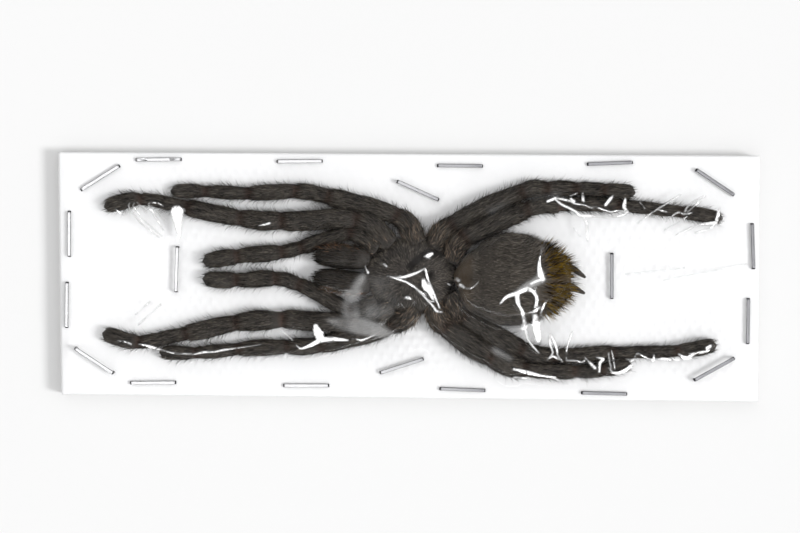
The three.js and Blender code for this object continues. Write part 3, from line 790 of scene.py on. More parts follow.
def frontBodyShell():
    look = shieldLook
    centreX, centreY = look["centre"]

    def outline(angle, share):
        narrow = 1 - look["headNarrowing"] * np.clip(-np.cos(angle), 0, 1) ** 2
        return (centreX + look["halfLength"] * share * np.cos(angle),
                centreY + look["halfWidth"] * narrow * share * np.sin(angle))

    def topAt(x, y, share):
        height = look["rim"] + (look["top"] - look["rim"]) * np.clip(1 - share ** 2.6, 0, 1) ** 0.6
        dx, dy = x - look["pit"][0], y - look["pit"][1]
        height = height - look["pitDepth"] * np.exp(-((dx / 1.0) ** 2 + (dy / 1.9) ** 2))
        bearing = np.arctan2(dy, dx)
        away = np.hypot(dx, dy)
        for spoke in look["spokes"]:
            for sign in (-1, 1):
                off = away * np.sin(np.clip(np.abs(bearing - sign * spoke), 0, math.pi / 2))
                fade = bell(away - look["spokesAt"][0], look["spokesAt"][1])
                height = height - look["grooveDepth"] * fade * bell(off, look["spokeWidth"])
        ex, ey = look["eyeMound"]
        height = height + look["moundHeight"] * np.exp(-(((x - ex) / 0.9) ** 2 + ((y - ey) / 1.3) ** 2))
        return height + look["wrinkle"][0] * waviness(flatPlace(x, y), look["wrinkle"][1])

    def bottomAt(x, y, share):
        return 0 * x + look["rim"] - 0.2 - (look["rim"] - look["bottom"] - 0.2) * (1 - share ** 3) ** 0.5

    shell = planShell(look, outline, topAt, bottomAt)
    away = np.hypot(shell["points"][:, 0] - look["pit"][0], shell["points"][:, 1] - look["pit"][1])
    shell["thin"] = 0.8 * bell(away, 1.4)
    mound = np.hypot(shell["points"][:, 0] - look["eyeMound"][0], shell["points"][:, 1] - look["eyeMound"][1])
    # a curved band painted dark on the shield, a painted dark reflection of the film, smooth and bare of hair
    band = smoothRoute(look["paintedDarkBand"], 0.3)[0]
    apart = np.hypot(*(shell["points"][:, axis:axis + 1] - band[None, :, axis] for axis in (0, 1))).min(axis=1)
    paintedDarkBand = np.clip(2.0 - apart / 0.7, 0, 1)
    shell["thin"] = np.maximum(shell["thin"], paintedDarkBand)
    shell["hairy"] = (np.clip((mound - 0.9) / 0.8, 0, 1) * (shell["points"][:, 2] > look["rim"] - 0.6)
                      * (1 - paintedDarkBand))
    beads = []
    ex, ey = look["eyeMound"]
    for dx, dy, radius in [(x, y * side, radius) for x, y, radius in look["eyes"] for side in (1, -1)]:
        x, y = np.array(ex + dx), np.array(ey + dy)
        share = math.hypot((x - centreX) / look["halfLength"], (y - centreY) / (look["halfWidth"] * 0.7))
        beads.append(bead((x, y, float(topAt(x, y, min(share, 0.985)))), radius))
    return shell, joinShells(*beads)


# the outline as (x, half width)
tailLook = {"outline": [(12.9, 1.2), (13.7, 2.4), (14.6, 4.8), (16.2, 7.4), (18.9, 9.8), (21.2, 11.3),
                        (24.9, 12.9), (28.6, 13.3), (32.2, 12.9), (35.8, 11.9), (39.4, 10.0), (43.1, 7.4),
                        (45.5, 5.0), (46.5, 3.0)],
            "centreLine": -0.6, "flatness": 0.455, "sides": 84, "spacing": 0.4, "wrinkle": 0.022, "sag": 0.35,
            "hairCentre": (29.0, -0.6),
            # the hollow as (x, y, its reach along each, depth)
            "hollow": (16.0, 0.2, 1.7, 3.0, 2.6),
            # where the hair fans out and the body flattens, as (start, reach), and thin skin, with its strength
            "fanFrom": (31, 8), "bendFrom": (14.2, 6), "thinRear": (36, 6, 0.7), "thinFront": (18.6, 1.5, 0.5)}


def abdomenShell():
    look = tailLook
    stations = np.array(look["outline"])
    along = np.arange(stations[0, 0], stations[-1, 0] + 0.01, look["spacing"])
    width = np.interp(along, stations[:, 0], stations[:, 1])
    width = evened(width, mode="reflect", reflect_type="odd")
    width[0], width[-1] = stations[0, 1], stations[-1, 1] * 0.8
    share = np.clip((along - look["bendFrom"][0]) / look["bendFrom"][1], 0, 1)
    blend = share * share * (3 - 2 * share)
    middle = restHeight + stations[:, 1].max() * look["flatness"]
    line = np.column_stack([along, look["centreLine"] * blend, np.full(len(along), middle)])
    upward = width * (1 - (1 - look["flatness"]) * blend)

    def wrinkles(centres, angle):
        ring = roundPlace(centres * 0.5, angle, 11)
        fine = waviness(ring * (2.2, 1, 1), 2.6)
        # the back sank a little along its middle
        middleDip = np.clip(np.sin(angle), 0, 1) ** 8 * look["sag"] / 6
        return 1 + look["wrinkle"] * (waviness(ring, 7) + 0.5 * fine) - middleDip

    shell = loft(line, width, upward, look["sides"], 1.0, wrinkles)
    # a hollow in front, where it meets the shield
    pitX, pitY, acrossX, acrossY, depth = look["hollow"]
    x, y, z = shell["points"].T
    sunk = np.exp(-((x - pitX) / acrossX) ** 2 - ((y - pitY) / acrossY) ** 2)
    shell["points"][:, 2] -= (z > middle) * depth * sunk
    start, reach, strength = look["thinRear"]
    shell["thin"] = np.clip((shell["points"][:, 0] - start) / reach, 0, 1) * strength
    inHollow = np.exp(-((x - pitX) / acrossX) ** 2 - ((y - pitY - 0.6) / acrossY) ** 2)
    shell["hairy"] = shell["hairy"] * np.clip(1.6 - 3 * inHollow, 0, 1)
    start, reach, strength = look["thinFront"]
    thinFront = np.clip((start - shell["points"][:, 0]) / reach, 0, 1) * strength
    shell["thin"] = np.maximum(shell["thin"], thinFront)
    # the hair fans out from the middle of the back towards the rear
    away = shell["points"][:, :2] - look["hairCentre"]
    away /= np.linalg.norm(away, axis=1, keepdims=True) + 0.5
    fan = np.clip((shell["points"][:, 0] - look["fanFrom"][0]) / look["fanFrom"][1], 0, 1)[:, None]
    shell["grow"][:, :2] = shell["grow"][:, :2] * (1 - fan) + away * fan
    return shell


jawLook = {"outline": [(0, 2.2), (2.5, 3.2), (8, 3.35), (12.5, 3.0), (15.0, 2.1), (16.1, 0.9)],
           "height": 9.7, "sides": 30, "lumps": 0.03, "fangWidth": (0.95, 0.12), "fangFrom": 2.6,
           "fang": [(0.6, 0.0, -2.6), (1.6, 0.0, -3.5), (0.2, 0.1, -3.9), (-3.4, 0.5, -3.9),
                    (-6.0, 0.9, -3.7)]}
jawPlaces = {"jaw_right": ((-11.2, 5.2), (-27.0, 6.5)), "jaw_left": ((-11.2, -2.4), (-27.2, -0.4))}


def jawShell(name):
    look = jawLook
    (baseX, baseY), (tipX, tipY) = jawPlaces[name]
    line, reach, _ = smoothRoute([(baseX, baseY, look["height"]), (tipX, tipY, look["height"] - 0.4)], 0.5)
    stations = np.array(look["outline"])
    radius = np.interp(reach, stations[:, 0], stations[:, 1])
    radius = evened(radius)
    radius[-1] = 0.7

    def lumps(centres, angle):
        bumps = waviness(roundPlace(centres, angle, 3), 3)
        return 1 + look["lumps"] * np.sin(angle * 4 + 1) + look["lumps"] * bumps

    shell = loft(line, radius, radius, look["sides"], 0.95, lumps)
    shell["points"][:, 2] = np.maximum(shell["points"][:, 2], restHeight + 0.1)
    # the folded fang: a curved black spike under the end of the jaw, pointing back
    side = -1 if tipY > 0 else 1
    rootX, rootZ = tipX + look["fangFrom"], look["height"]
    bends = [(rootX - dx, tipY + dy * side, rootZ + dz) for dx, dy, dz in look["fang"]]
    spine = smoothRoute(bends, 0.35)[0]
    spine[:, 2] = np.maximum(spine[:, 2], restHeight + 0.45)
    thickness = np.linspace(*look["fangWidth"], len(spine)) ** 0.9
    fang = loft(spine, thickness, thickness * 0.9, 12)
    fang["hairy"][:] = 0
    fang["points"][:, 2] = np.maximum(fang["points"][:, 2], restHeight + 0.02)
    return shell, fang


spinneretPlaces = {
    "spinneret_right": [(45.0, 3.3), (47.4, 2.3), (49.6, 0.8), (51.0, -0.2)],
    "spinneret_left": [(45.0, -2.8), (47.5, -3.2), (49.4, -4.1), (50.8, -4.8)],
}
spinneretLook = {"height": 8.6, "grooveDepth": 0.16, "grooveReach": 0.35,
                 "radii": [1.2, 0.98, 0.76, 0.32], "sides": 18}


def spinneretShell(name):
    look = spinneretLook
    line, reach, marks = smoothRoute([(x, y, look["height"]) for x, y in spinneretPlaces[name]], 0.25)
    radius = np.interp(reach, marks, look["radii"])
    nearest = np.min(np.abs(reach[:, None] - marks[None, 1:-1]), axis=1)
    radius = radius * (1 - look["grooveDepth"] * bell(nearest, look["grooveReach"]))
    return loft(line, radius, radius * 0.9, look["sides"])


animal["front_body"], eyes = frontBodyShell()
animal["abdomen"] = abdomenShell()
for name in spinneretPlaces:
    animal[name] = spinneretShell(name)
fangs = {}
for name in jawPlaces:
    animal[name], fangs[name] = jawShell(name)

skins = {"front_body": shieldCuticle, **dict.fromkeys(("abdomen", *spinneretPlaces), tailCuticle)}


def makeAnimalPiece(name, shell):
    material = skins.get(name, darkCuticle)
    extra = eyes if name == "front_body" else fangs.get(name)
    whole = joinShells(shell, extra) if extra else shell
    thing = shellObject(name + "_piece", whole, material)
    if extra:
        # horn on the eyes and fangs, which come after the skin in the mesh
        thing.data.materials.append(blackHorn)
        first = len(shell["faces"])
        marks = np.zeros(len(thing.data.polygons), dtype=np.int32)
        marks[first:] = 1
        thing.data.polygons.foreach_set("material_index", marks)
    return finishPiece(thing, name)


bodies = {name: makeAnimalPiece(name, shell) for name, shell in animal.items()}
print("animal made,", len(bodies), "pieces")


# staples: bent wire with a rounded flat section, swept by a node tree
stapleLook = {"Crown": 12.9 * mm, "Leg": 6.0 * mm, "Wire Width": 0.98 * mm, "Wire Height": 0.5 * mm,
              "Corner": 0.6 * mm, "Edge Rounding": 0.2 * mm}


def makeShapeTree(name, sizes, last):
    # a geometry tree with an input for each size, one more, and its finish
    geometry = ("Geometry", "Geometry", None)
    sockets = [(label, "Float", value) for label, value in sizes.items()]
    inputs = (geometry, *sockets, last, ("Finish", "Material", None))
    return makeTree(name, "GeometryNodeTree", inputs, (geometry,))


def finishTree(tree, inlet, outlet, geometry):
    # each tree ends in plain geometry with its finish
    real = addNode(tree, "GeometryNodeRealizeInstances", {"Geometry": geometry}).outputs[0]
    done = addNode(tree, "GeometryNodeSetMaterial", {"Geometry": real, "Material": inlet.outputs["Finish"]})
    tree.links.new(done.outputs[0], outlet.inputs["Geometry"])
    return tree


def makeStapleTree():
    tree, inlet, outlet = makeShapeTree("bent staple", stapleLook, ("Crown Arch", "Float", 0.0))
    line = addNode(tree, "GeometryNodeCurvePrimitiveLine").outputs[0]
    spots = addNode(tree, "GeometryNodeResampleCurve", {"Curve": line, "Count": 7}).outputs[0]
    # points 0 and 6 are the leg ends, 1 and 5 the bends, and the rest lie along the crown
    index = addNode(tree, "GeometryNodeInputIndex").outputs[0]
    fromMiddle = addMath(tree, "SUBTRACT", index, 3.0)
    along = addMath(tree, "MINIMUM", addMath(tree, "DIVIDE", fromMiddle, 4.0), 0.5)
    along = addMath(tree, "MAXIMUM", along, -0.5)
    ends = addMath(tree, "GREATER_THAN", addMath(tree, "ABSOLUTE", fromMiddle), 2.5)
    drop = times(tree, times(tree, ends, inlet.outputs["Leg"]), -1.0)
    arch = addMath(tree, "SUBTRACT", 0.25, times(tree, along, along))
    arch = times(tree, times(tree, arch, 4.0), inlet.outputs["Crown Arch"])
    spot = addNode(tree, "ShaderNodeCombineXYZ", {
        0: times(tree, along, inlet.outputs["Crown"]), 2: plus(tree, drop, arch)}).outputs[0]
    bent = addNode(tree, "GeometryNodeSetPosition", {"Geometry": spots, "Position": spot}).outputs[0]

    def rounded(curve, radius, count):
        return addNode(tree, "GeometryNodeFilletCurve", {"Curve": curve, "Radius": radius, "Count": count,
                                                         "Limit Radius": True}, mode="POLY").outputs[0]

    bent = rounded(bent, inlet.outputs["Corner"], 5)
    section = addNode(tree, "GeometryNodeCurvePrimitiveQuadrilateral", {
        "Width": inlet.outputs["Wire Height"], "Height": inlet.outputs["Wire Width"]}).outputs[0]
    section = rounded(section, inlet.outputs["Edge Rounding"], 3)
    wire = addNode(tree, "GeometryNodeCurveToMesh", {
        "Curve": bent, "Profile Curve": section, "Fill Caps": True}).outputs[0]
    smooth = addNode(tree, "GeometryNodeSetShadeSmooth", {"Geometry": wire, "Shade Smooth": True}).outputs[0]
    return finishTree(tree, inlet, outlet, smooth)


def setInputs(modifier, tree, values):
    for entry in tree.interface.items_tree:
        if entry.item_type == "SOCKET" and entry.in_out == "INPUT" and entry.name in values:
            modifier[entry.identifier] = values[entry.name]


stapleTree = makeStapleTree()
stapleNames = sorted(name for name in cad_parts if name.startswith("staple_"))
staplePlaces = {}


def makeStaple(name, arch, tilt):
    points = nodePoints(name)
    middle = (points.min(axis=0) + points.max(axis=0)) / 2
    flat = points[:, :2] - middle[:2]
    direction = np.linalg.eigh(flat.T @ flat)[1][:, 1]
    crownTop = points[:, 2].max()
    staplePlaces[name] = (middle[0], middle[1], direction, crownTop)
    thing = makeObject(name + "_piece", bpy.data.meshes.new(name + "_piece"))
    modifier = thing.modifiers.new("bent staple", "NODES")
    modifier.node_group = stapleTree
    setInputs(modifier, stapleTree, {"Crown Arch": arch * mm, "Finish": stapleWire})
    applyModifiers(thing)
    turn = Matrix.Rotation(math.atan2(direction[1], direction[0]), 4, "Z") @ Matrix.Rotation(tilt, 4, "X")
    height = crownTop * mm - stapleLook["Wire Height"] / 2 - max(arch, 0) * mm
    thing.data.transform(Matrix.Translation((middle[0] * mm, middle[1] * mm, height)) @ turn)
    return finishPiece(thing, name)


stapleDraw = np.random.default_rng(21)
staples = [makeStaple(name, float(stapleDraw.uniform(-0.12, 0.03)), float(stapleDraw.uniform(-0.03, 0.03)))
           for name in stapleNames]
print("staples made,", len(staples))


# the film: drawn tight over the animal, pinned by the staples, and pinched into small sharp creases, which are
# also painted white along their lines as a painted highlight
filmSheet = {
    "pitch": 0.28, "inset": -0.3, "lift": 0.12, "clearance": 0.28, "thickness": 0.04, "faces": 94000,
    "crinkle": 0.012, "glintPolar": 60.0, "glintArc": (-125.0, 35.0), "glintDistance": 1200.0,
    "viewFrom": (-2.6, 3.0, 656.0), "gentle": 17.0, "steep": 42.0, "softenings": 6, "ease": 4,
    "leastWidth": 0.74, "litWidth": 1.15, "backWidth": 1.5, "paintedGlintWidth": 0.9, "underCrown": (6.9, 0.75, 0.12),
    "rounds": 160, "pull": 1.75,  # how often and how far each point moves towards its neighbours' mean
    # a faint painted veil over the middle, white painted sheen standing for the film's reflection, as (start,
    # full, fading, nearly gone, strength)
    "paintedVeil": (-45.0, -22.0, 36.5, 39.5, 0.015),
    # places with white painted haze, a painted reflection on the film, as (outline, strength)
    "paintedHazes": {
        "haze": ([(-12.5, 0.2), (-3.8, 0.2), (-3.2, -6.7), (-4.9, -12.0), (-13.6, -12.0), (-14.8, -7.6),
                  (-13.9, -3.8)], 0.2),
        "hazeSide": ([(-13.6, 1.4), (-12.2, 0.2), (-13.9, -3.8), (-14.8, -7.6), (-13.9, -11.4), (-18.9, -11.9),
                      (-19.4, -9.6), (-19.1, -7.6), (-18.0, -5.0), (-16.2, -1.8)], 1.1),
        "hazeLow": ([(-24.1, -12.2), (-18.9, -11.7), (-13.6, -11.7), (-9.6, -13.1), (-4.9, -15.4),
                     (-3.2, -17.2), (-8.4, -17.2), (-14.2, -16.6), (-20.0, -15.4)], 0.75),
        "olive": ([(-12.5, -8.5), (-9.6, -7.9), (-6.1, -8.5), (-5.2, -10.2), (-8.4, -12.0),
                   (-13.0, -12.0)], 0.45),
        "feather": ([(38.0, 3.0), (39.2, -1.2), (35.1, -2.9), (31.0, -4.4), (28.0, -6.0), (32.2, -2.7),
                     (36.0, -0.3)], 1.7),
        "thighLow": ([(23.2, -20.4), (24.4, -19.9), (30.4, -23.3), (28.9, -24.6), (24.1, -22.0)], 0.5),
        "thighHigh": ([(22.3, 19.0), (27.6, 21.8), (28.6, 20.8), (23.4, 18.0)], 0.4),
        "shinHigh": ([(34.8, 23.0), (43.8, 24.9), (44.4, 23.8), (35.4, 21.8)], 0.4),
    },
    # creases as lines of (x, y, width of the lit side)
    "creases": {
        "carapaceTop": [(-6.1, 0.2, 0.35), (-3.8, -0.1, 0.46), (-2.0, -0.1, 0.75), (0.3, 0.5, 0.87),
            (2.6, 1.4, 0.64), (4.5, 2.4, 0.41)],
        "carapaceTail": [(4.6, 2.4, 0.46), (5.5, -0.9, 0.58), (6.7, -3.8, 0.58), (8.7, -8.8, 0.52)],
        "carapaceLong": [(-5.5, 0.1, 0.46), (-3.2, -0.6, 0.52), (-0.3, -1.7, 0.58), (2.6, -3.8, 0.58),
            (6.7, -8.2, 0.64), (7.8, -9.7, 0.7), (9.3, -10.1, 0.46)],
        "carapaceFill": [(4.1, -1.2, 1.16), (4.8, -2.7, 2.32), (5.7, -4.0, 1.45), (6.4, -5.6, 0.7),
            (7.2, -7.0, 0.41)],
        "crescent": [(4.5, 5.9, 0.46), (5.5, 6.1, 1.28), (6.5, 6.6, 0.75)],
        "eyes": [(-12.6, 3.1, 0.29), (-12.2, 2.0, 0.46), (-11.8, 1.3, 0.7)],
        "head": [(-7.2, 3.6, 0.46), (-6.5, 3.1, 0.58)],
        "flank": [(-1.0, -5.9, 0.46), (-0.3, -5.9, 0.87), (0.7, -6.3, 0.29)],
        "waist": [(13.5, -0.6, 0.52), (14.1, -1.0, 0.58)],
        "waistLow": [(11.2, -2.0, 0.43), (11.7, -2.4, 0.43)],
        "hipWedge": [(-26.8, -14.3, 1.45), (-26.2, -16.0, 2.61), (-25.5, -17.7, 2.61)],
        "hipTriangle": [(-32.4, -19.8, 0.41), (-31.1, -20.6, 0.58), (-28.7, -19.8, 0.99), (-25.8, -18.4, 1.45),
            (-22.9, -17.9, 1.45), (-20.0, -18.0, 0.99), (-17.7, -18.2, 0.52)],
        "hipArc": [(-16.2, -17.8, 0.26), (-13.3, -17.9, 0.29), (-10.0, -16.7, 0.26)],
        "hipTick": [(-36.9, -15.6, 0.41), (-35.0, -16.9, 0.46), (-33.7, -18.2, 0.41)],
        "fanOne": [(-80.6, 21.2, 0.29), (-80.8, 20.3, 0.41), (-79.3, 17.9, 0.41), (-76.7, 14.9, 0.41),
            (-72.4, 11.4, 0.29)],
        "fanTwo": [(-79.3, 21.2, 0.29), (-79.6, 20.5, 0.35), (-78.0, 18.2, 0.35), (-75.4, 15.3, 0.35),
            (-71.5, 11.8, 0.26)],
        "fanThree": [(-78.4, 21.4, 0.29), (-76.9, 19.9, 0.35), (-75.8, 18.8, 0.26)],
        "fanFour": [(-74.8, 21.4, 0.35), (-75.1, 20.7, 0.46), (-73.9, 18.4, 0.46), (-72.8, 16.6, 0.41),
            (-71.0, 13.6, 0.29)],
        "fanLoop": [(-74.8, 21.4, 0.35), (-73.2, 21.5, 0.35), (-71.9, 21.1, 0.35), (-71.0, 20.5, 0.26)],
        "fanFive": [(-74.3, 20.5, 0.29), (-72.4, 18.4, 0.35), (-70.2, 15.7, 0.26)],
        "fanSix": [(-84.5, 19.5, 0.26), (-82.6, 17.9, 0.26)],
        "kneeWedge": [(-66.9, 18.6, 4.0), (-66.8, 16.8, 2.9), (-66.6, 14.6, 1.8), (-66.5, 12.7, 1.0),
            (-66.4, 11.4, 0.5)],
        "kneeLoop": [(-65.7, 18.6, 0.35), (-65.6, 19.3, 0.35), (-65.0, 19.6, 0.35), (-64.7, 19.0, 0.35)],
        "thigh": [(-43.2, 14.8, 0.29), (-41.8, 15.1, 0.46), (-40.3, 15.4, 0.7)],
        "tailLine": [(38.2, 8.4, 0.26), (37.6, 6.7, 0.32), (37.2, 5.0, 0.46), (37.1, 3.7, 0.9),
            (37.2, 2.1, 1.4), (37.5, 0.7, 1.7), (38.1, -0.5, 1.1)],
        "tailHook": [(34.7, -1.9, 0.46), (36.0, -1.3, 0.64), (37.5, -0.8, 0.58)],
        "blotch": [(26.1, -7.4, 0.52), (27.4, -5.9, 0.87), (29.1, -5.1, 1.16), (30.7, -4.7, 1.04)],
        "ringTop": [(30.7, -4.6, 0.87), (32.4, -3.9, 1.16), (33.7, -3.5, 1.16), (35.1, -4.0, 1.1),
            (36.2, -5.4, 0.99), (36.4, -6.9, 0.87), (36.0, -8.3, 0.58)],
        "ringStreak": [(30.8, -5.3, 1.45), (30.9, -6.9, 1.33), (31.4, -8.3, 0.87), (32.3, -9.6, 0.7),
            (32.7, -11.6, 0.7), (33.8, -17.0, 0.64), (35.5, -19.8, 0.58), (37.3, -21.8, 0.41)],
        "tailStreak": [(36.0, -11.3, 1.45), (36.4, -13.9, 2.32), (37.1, -16.6, 2.03), (37.4, -18.2, 0.87)],
        "tailTick": [(38.7, -7.8, 0.35), (38.0, -9.3, 0.41), (37.7, -10.9, 0.35)],
        "tailCross": [(34.9, -10.0, 0.41), (36.0, -9.8, 0.52), (37.4, -8.9, 0.41)],
        "waistDot": [(14.7, -2.3, 0.7), (15.5, -2.9, 0.58)],
        "waistCurve": [(16.1, -3.2, 0.29), (17.6, -3.2, 0.35), (18.9, -2.3, 0.35), (19.7, -1.4, 0.26)],
        "forkLeft": [(40.7, -16.6, 0.46), (40.5, -18.8, 0.7), (41.2, -20.9, 0.58), (41.4, -22.0, 0.58),
            (40.3, -23.5, 0.46)],
        "forkRight": [(40.7, -16.6, 0.46), (42.0, -19.2, 0.7), (42.7, -21.4, 0.64), (42.9, -22.7, 0.46),
            (44.2, -24.4, 0.41)],
        "forkCross": [(40.3, -23.4, 0.46), (41.6, -22.9, 0.58), (43.4, -23.8, 0.41)],
        "forkTick": [(47.0, -15.9, 0.46), (45.7, -19.6, 0.46), (45.3, -22.7, 0.41), (45.5, -24.2, 0.35)],
        "kneeLine": [(45.7, -24.1, 0.41), (48.1, -24.2, 0.46), (49.9, -24.6, 0.46), (50.8, -23.8, 0.35)],
        "kneeHook": [(50.8, -23.3, 0.35), (51.8, -24.4, 0.46), (52.5, -25.1, 0.75), (53.6, -26.2, 0.87)],
        "kneeFlag": [(54.2, -23.2, 0.41), (56.0, -23.8, 0.87), (55.1, -24.9, 0.87), (54.9, -27.2, 0.7)],
        "kneeBar": [(57.6, -22.0, 0.41), (57.8, -24.0, 0.46), (58.3, -26.4, 0.41)],
        "kneeBarTwo": [(58.5, -21.5, 0.41), (59.0, -24.0, 0.46), (59.3, -26.4, 0.41)],
        "kneeArc": [(57.8, -26.4, 0.41), (58.8, -27.5, 0.58), (60.5, -27.8, 0.87), (62.5, -27.0, 1.16),
            (63.8, -25.7, 0.58)],
        "shinDot": [(64.2, -24.3, 0.7), (64.8, -24.0, 0.7)],
        "shinHook": [(65.3, -23.0, 0.41), (66.0, -22.1, 0.41), (68.4, -23.2, 0.35)],
        "shinTick": [(70.7, -22.7, 0.46), (70.5, -24.4, 0.46)],
        "shinLine": [(72.9, -23.5, 0.41), (75.5, -23.9, 0.41), (77.7, -24.0, 0.41)],
        "footHook": [(78.1, -22.4, 0.58), (79.9, -23.3, 0.58), (81.2, -22.9, 0.58)],
        "footLine": [(80.9, -22.2, 0.41), (82.9, -21.8, 0.41), (86.4, -21.1, 0.46)],
        "footDot": [(86.0, -20.5, 1.04), (86.8, -20.1, 1.04)],
        "thighLine": [(30.3, -26.6, 0.7), (34.2, -27.4, 0.75), (37.7, -28.3, 0.58), (41.2, -29.0, 0.58),
            (43.8, -30.1, 0.41)],
        "thighEdge": [(30.3, -29.0, 0.46), (35.1, -29.4, 0.41)],
        "waveStart": [(40.0, 21.8, 0.75), (42.1, 22.6, 0.81)],
        "waveLow": [(42.1, 22.4, 0.58), (43.9, 20.9, 0.7), (46.2, 19.8, 0.7), (48.0, 18.8, 0.75),
            (49.5, 17.7, 0.87), (54.3, 17.5, 0.64), (57.6, 17.4, 0.52), (60.2, 17.5, 0.58), (62.4, 18.1, 0.7),
            (63.1, 18.7, 0.58)],
        "waveHigh": [(42.8, 22.6, 0.58), (45.0, 22.2, 0.7), (46.5, 21.8, 0.58), (48.0, 21.1, 0.58),
            (50.6, 20.7, 0.41), (52.4, 20.0, 0.46), (54.3, 20.0, 0.46), (58.0, 18.8, 0.52), (60.2, 19.1, 0.46),
            (63.1, 18.7, 0.58)],
        "waveWedge": [(46.8, 22.4, 0.7), (47.4, 21.8, 0.99)],
        "waveTick": [(46.5, 23.4, 0.35), (48.4, 24.1, 0.35)],
        "barOne": [(50.1, 24.0, 0.46), (50.2, 22.2, 0.87)],
        "barTwo": [(58.7, 23.3, 0.46), (58.0, 22.4, 0.99), (56.8, 20.9, 0.87)],
        "barThree": [(62.4, 22.4, 0.58), (62.2, 21.1, 1.16), (62.1, 20.0, 0.99), (63.0, 19.2, 0.46)],
        "barTick": [(66.7, 21.4, 0.35), (68.0, 19.8, 0.38)],
        "streakOne": [(78.3, 23.7, 0.41), (74.6, 21.3, 0.46), (71.7, 19.6, 0.46), (68.7, 17.5, 0.41),
            (66.1, 15.5, 0.35)],
        "streakOneFork": [(72.0, 19.4, 0.41), (74.3, 18.8, 0.41)],
        "streakTwo": [(85.4, 23.3, 0.41), (83.1, 22.2, 0.46), (81.3, 21.1, 0.46), (80.0, 19.8, 0.46),
            (79.6, 18.7, 0.41)],
        "streakTwoSide": [(83.8, 21.5, 0.35), (82.0, 20.2, 0.35), (80.3, 18.6, 0.35)],
        "streakCurve": [(74.3, 16.1, 0.35), (75.7, 17.4, 0.43), (77.6, 18.6, 0.46), (79.5, 18.1, 0.46),
            (81.5, 18.5, 0.38)],
        "streakLow": [(80.2, 17.4, 0.35), (77.2, 15.5, 0.35), (73.9, 13.7, 0.29)],
        "tipTick": [(89.8, 19.8, 0.29), (89.3, 18.5, 0.75), (88.7, 16.5, 0.81)],
        "tipStreak": [(88.1, 15.5, 1.1), (86.5, 15.4, 0.87), (83.9, 15.1, 0.46), (80.9, 13.9, 0.46),
            (77.2, 12.2, 0.35)],
        "tipFork": [(88.0, 14.7, 0.41), (86.1, 13.7, 0.41), (82.8, 12.8, 0.38)],
        "openCurve": [(50.2, 17.5, 0.58), (51.2, 15.2, 0.58), (51.3, 12.6, 0.52), (51.5, 10.4, 0.35)],
        "openTick": [(47.4, 13.9, 0.29), (49.1, 11.8, 0.29)],
        "footThin": [(-83.7, -18.4, 0.35), (-81.7, -18.7, 0.46), (-80.2, -19.3, 0.52)],
        "metaThin": [(-77.8, -19.4, 0.35), (-75.4, -19.8, 0.58), (-72.8, -20.6, 0.41), (-70.6, -21.3, 0.41),
            (-67.6, -22.0, 0.52), (-62.8, -22.2, 0.41)],
        "shinThin": [(-62.0, -22.3, 0.46), (-58.9, -21.7, 0.7), (-56.3, -21.6, 0.52), (-53.7, -21.1, 0.64),
            (-50.2, -20.6, 0.41), (-42.8, -19.5, 0.23)],
        "openStreak": [(-78.0, -13.7, 0.41), (-71.9, -8.0, 0.41)],
        "openStreakTwo": [(-78.9, -10.8, 0.35), (-75.0, -7.2, 0.35)],
        "wrinkleOne": [(62.9, 0.8, 0.23), (79.5, 2.6, 0.23)],
        "wrinkleTwo": [(73.9, -0.9, 0.23), (97.7, 3.7, 0.23)],
    },
}


def heightsFrom(tree, x, y, ground):
    heights = np.full(x.shape, float(ground))
    down = Vector((0, 0, -1))
    for index in np.ndindex(x.shape):
        hit = tree.ray_cast(Vector((x[index], y[index], 40.0)), down)[0]
        if hit is not None:
            heights[index] = max(hit.z, ground)
    return heights


def widened(field, reach):
    # each point takes the highest value within the reach, so that slopes start beyond what lies beneath
    result = field.copy()
    for _ in range(reach):
        grown = result.copy()
        grown[1:] = np.maximum(grown[1:], result[:-1])
        grown[:-1] = np.maximum(grown[:-1], result[1:])
        grown[:, 1:] = np.maximum(grown[:, 1:], result[:, :-1])
        grown[:, :-1] = np.maximum(grown[:, :-1], result[:, 1:])
        result = grown
    return result


def besides(field):
    # the sum of the four neighbours of each inner point
    return field[:-2, 1:-1] + field[2:, 1:-1] + field[1:-1, :-2] + field[1:-1, 2:]


def stretchOver(lowest, pinned, start):
    # lets a sheet settle to its least area above the lowest heights, with the pinned points held
    height = np.maximum(start, lowest)
    height[pinned] = lowest[pinned]
    rows, columns = np.indices(height.shape)
    free = ~pinned
    masks = [free[1:-1, 1:-1] & (((rows + columns) % 2) == colour)[1:-1, 1:-1] for colour in (0, 1)]
    inner, floorHeight = height[1:-1, 1:-1], lowest[1:-1, 1:-1]
    for _ in range(filmSheet["rounds"]):
        for mask in masks:
            moved = np.maximum(inner + filmSheet["pull"] * (0.25 * besides(height) - inner), floorHeight)
            inner[mask] = moved[mask]
    return height


def sampled(field, r, c):
    # the field between its lattice points, at any rows and columns
    r0, c0 = np.minimum(r.astype(int), field.shape[0] - 2), np.minimum(c.astype(int), field.shape[1] - 2)
    fr, fc = r - r0, c - c0
    return ((field[r0, c0] * (1 - fc) + field[r0, c0 + 1] * fc) * (1 - fr)
            + (field[r0 + 1, c0] * (1 - fc) + field[r0 + 1, c0 + 1] * fc) * fr)


def resized(field, shape):
    steps = [np.linspace(0, size - 1, count) for size, count in zip(field.shape, shape)]
    return sampled(field, *np.meshgrid(*steps, indexing="ij"))


def rimOf(shape):
    rim = np.zeros(shape, dtype=bool)
    rim[0], rim[-1], rim[:, 0], rim[:, -1] = True, True, True, True
    return rim


def drawTight(lowest, pinned):
    # settled coarsely first, and then ever finer
    height = None
    for stride in (8, 4, 2, 1):
        low = lowest[::stride, ::stride]
        held = pinned[::stride, ::stride] | rimOf(low.shape)
        height = stretchOver(low, held, low if height is None else resized(height, low.shape))
    return height


def glintArc():
    # the middle and half the width of the arc that the glint panels stand in
    low, high = (math.radians(angle) for angle in filmSheet["glintArc"])
    return (low + high) / 2, (high - low) / 2


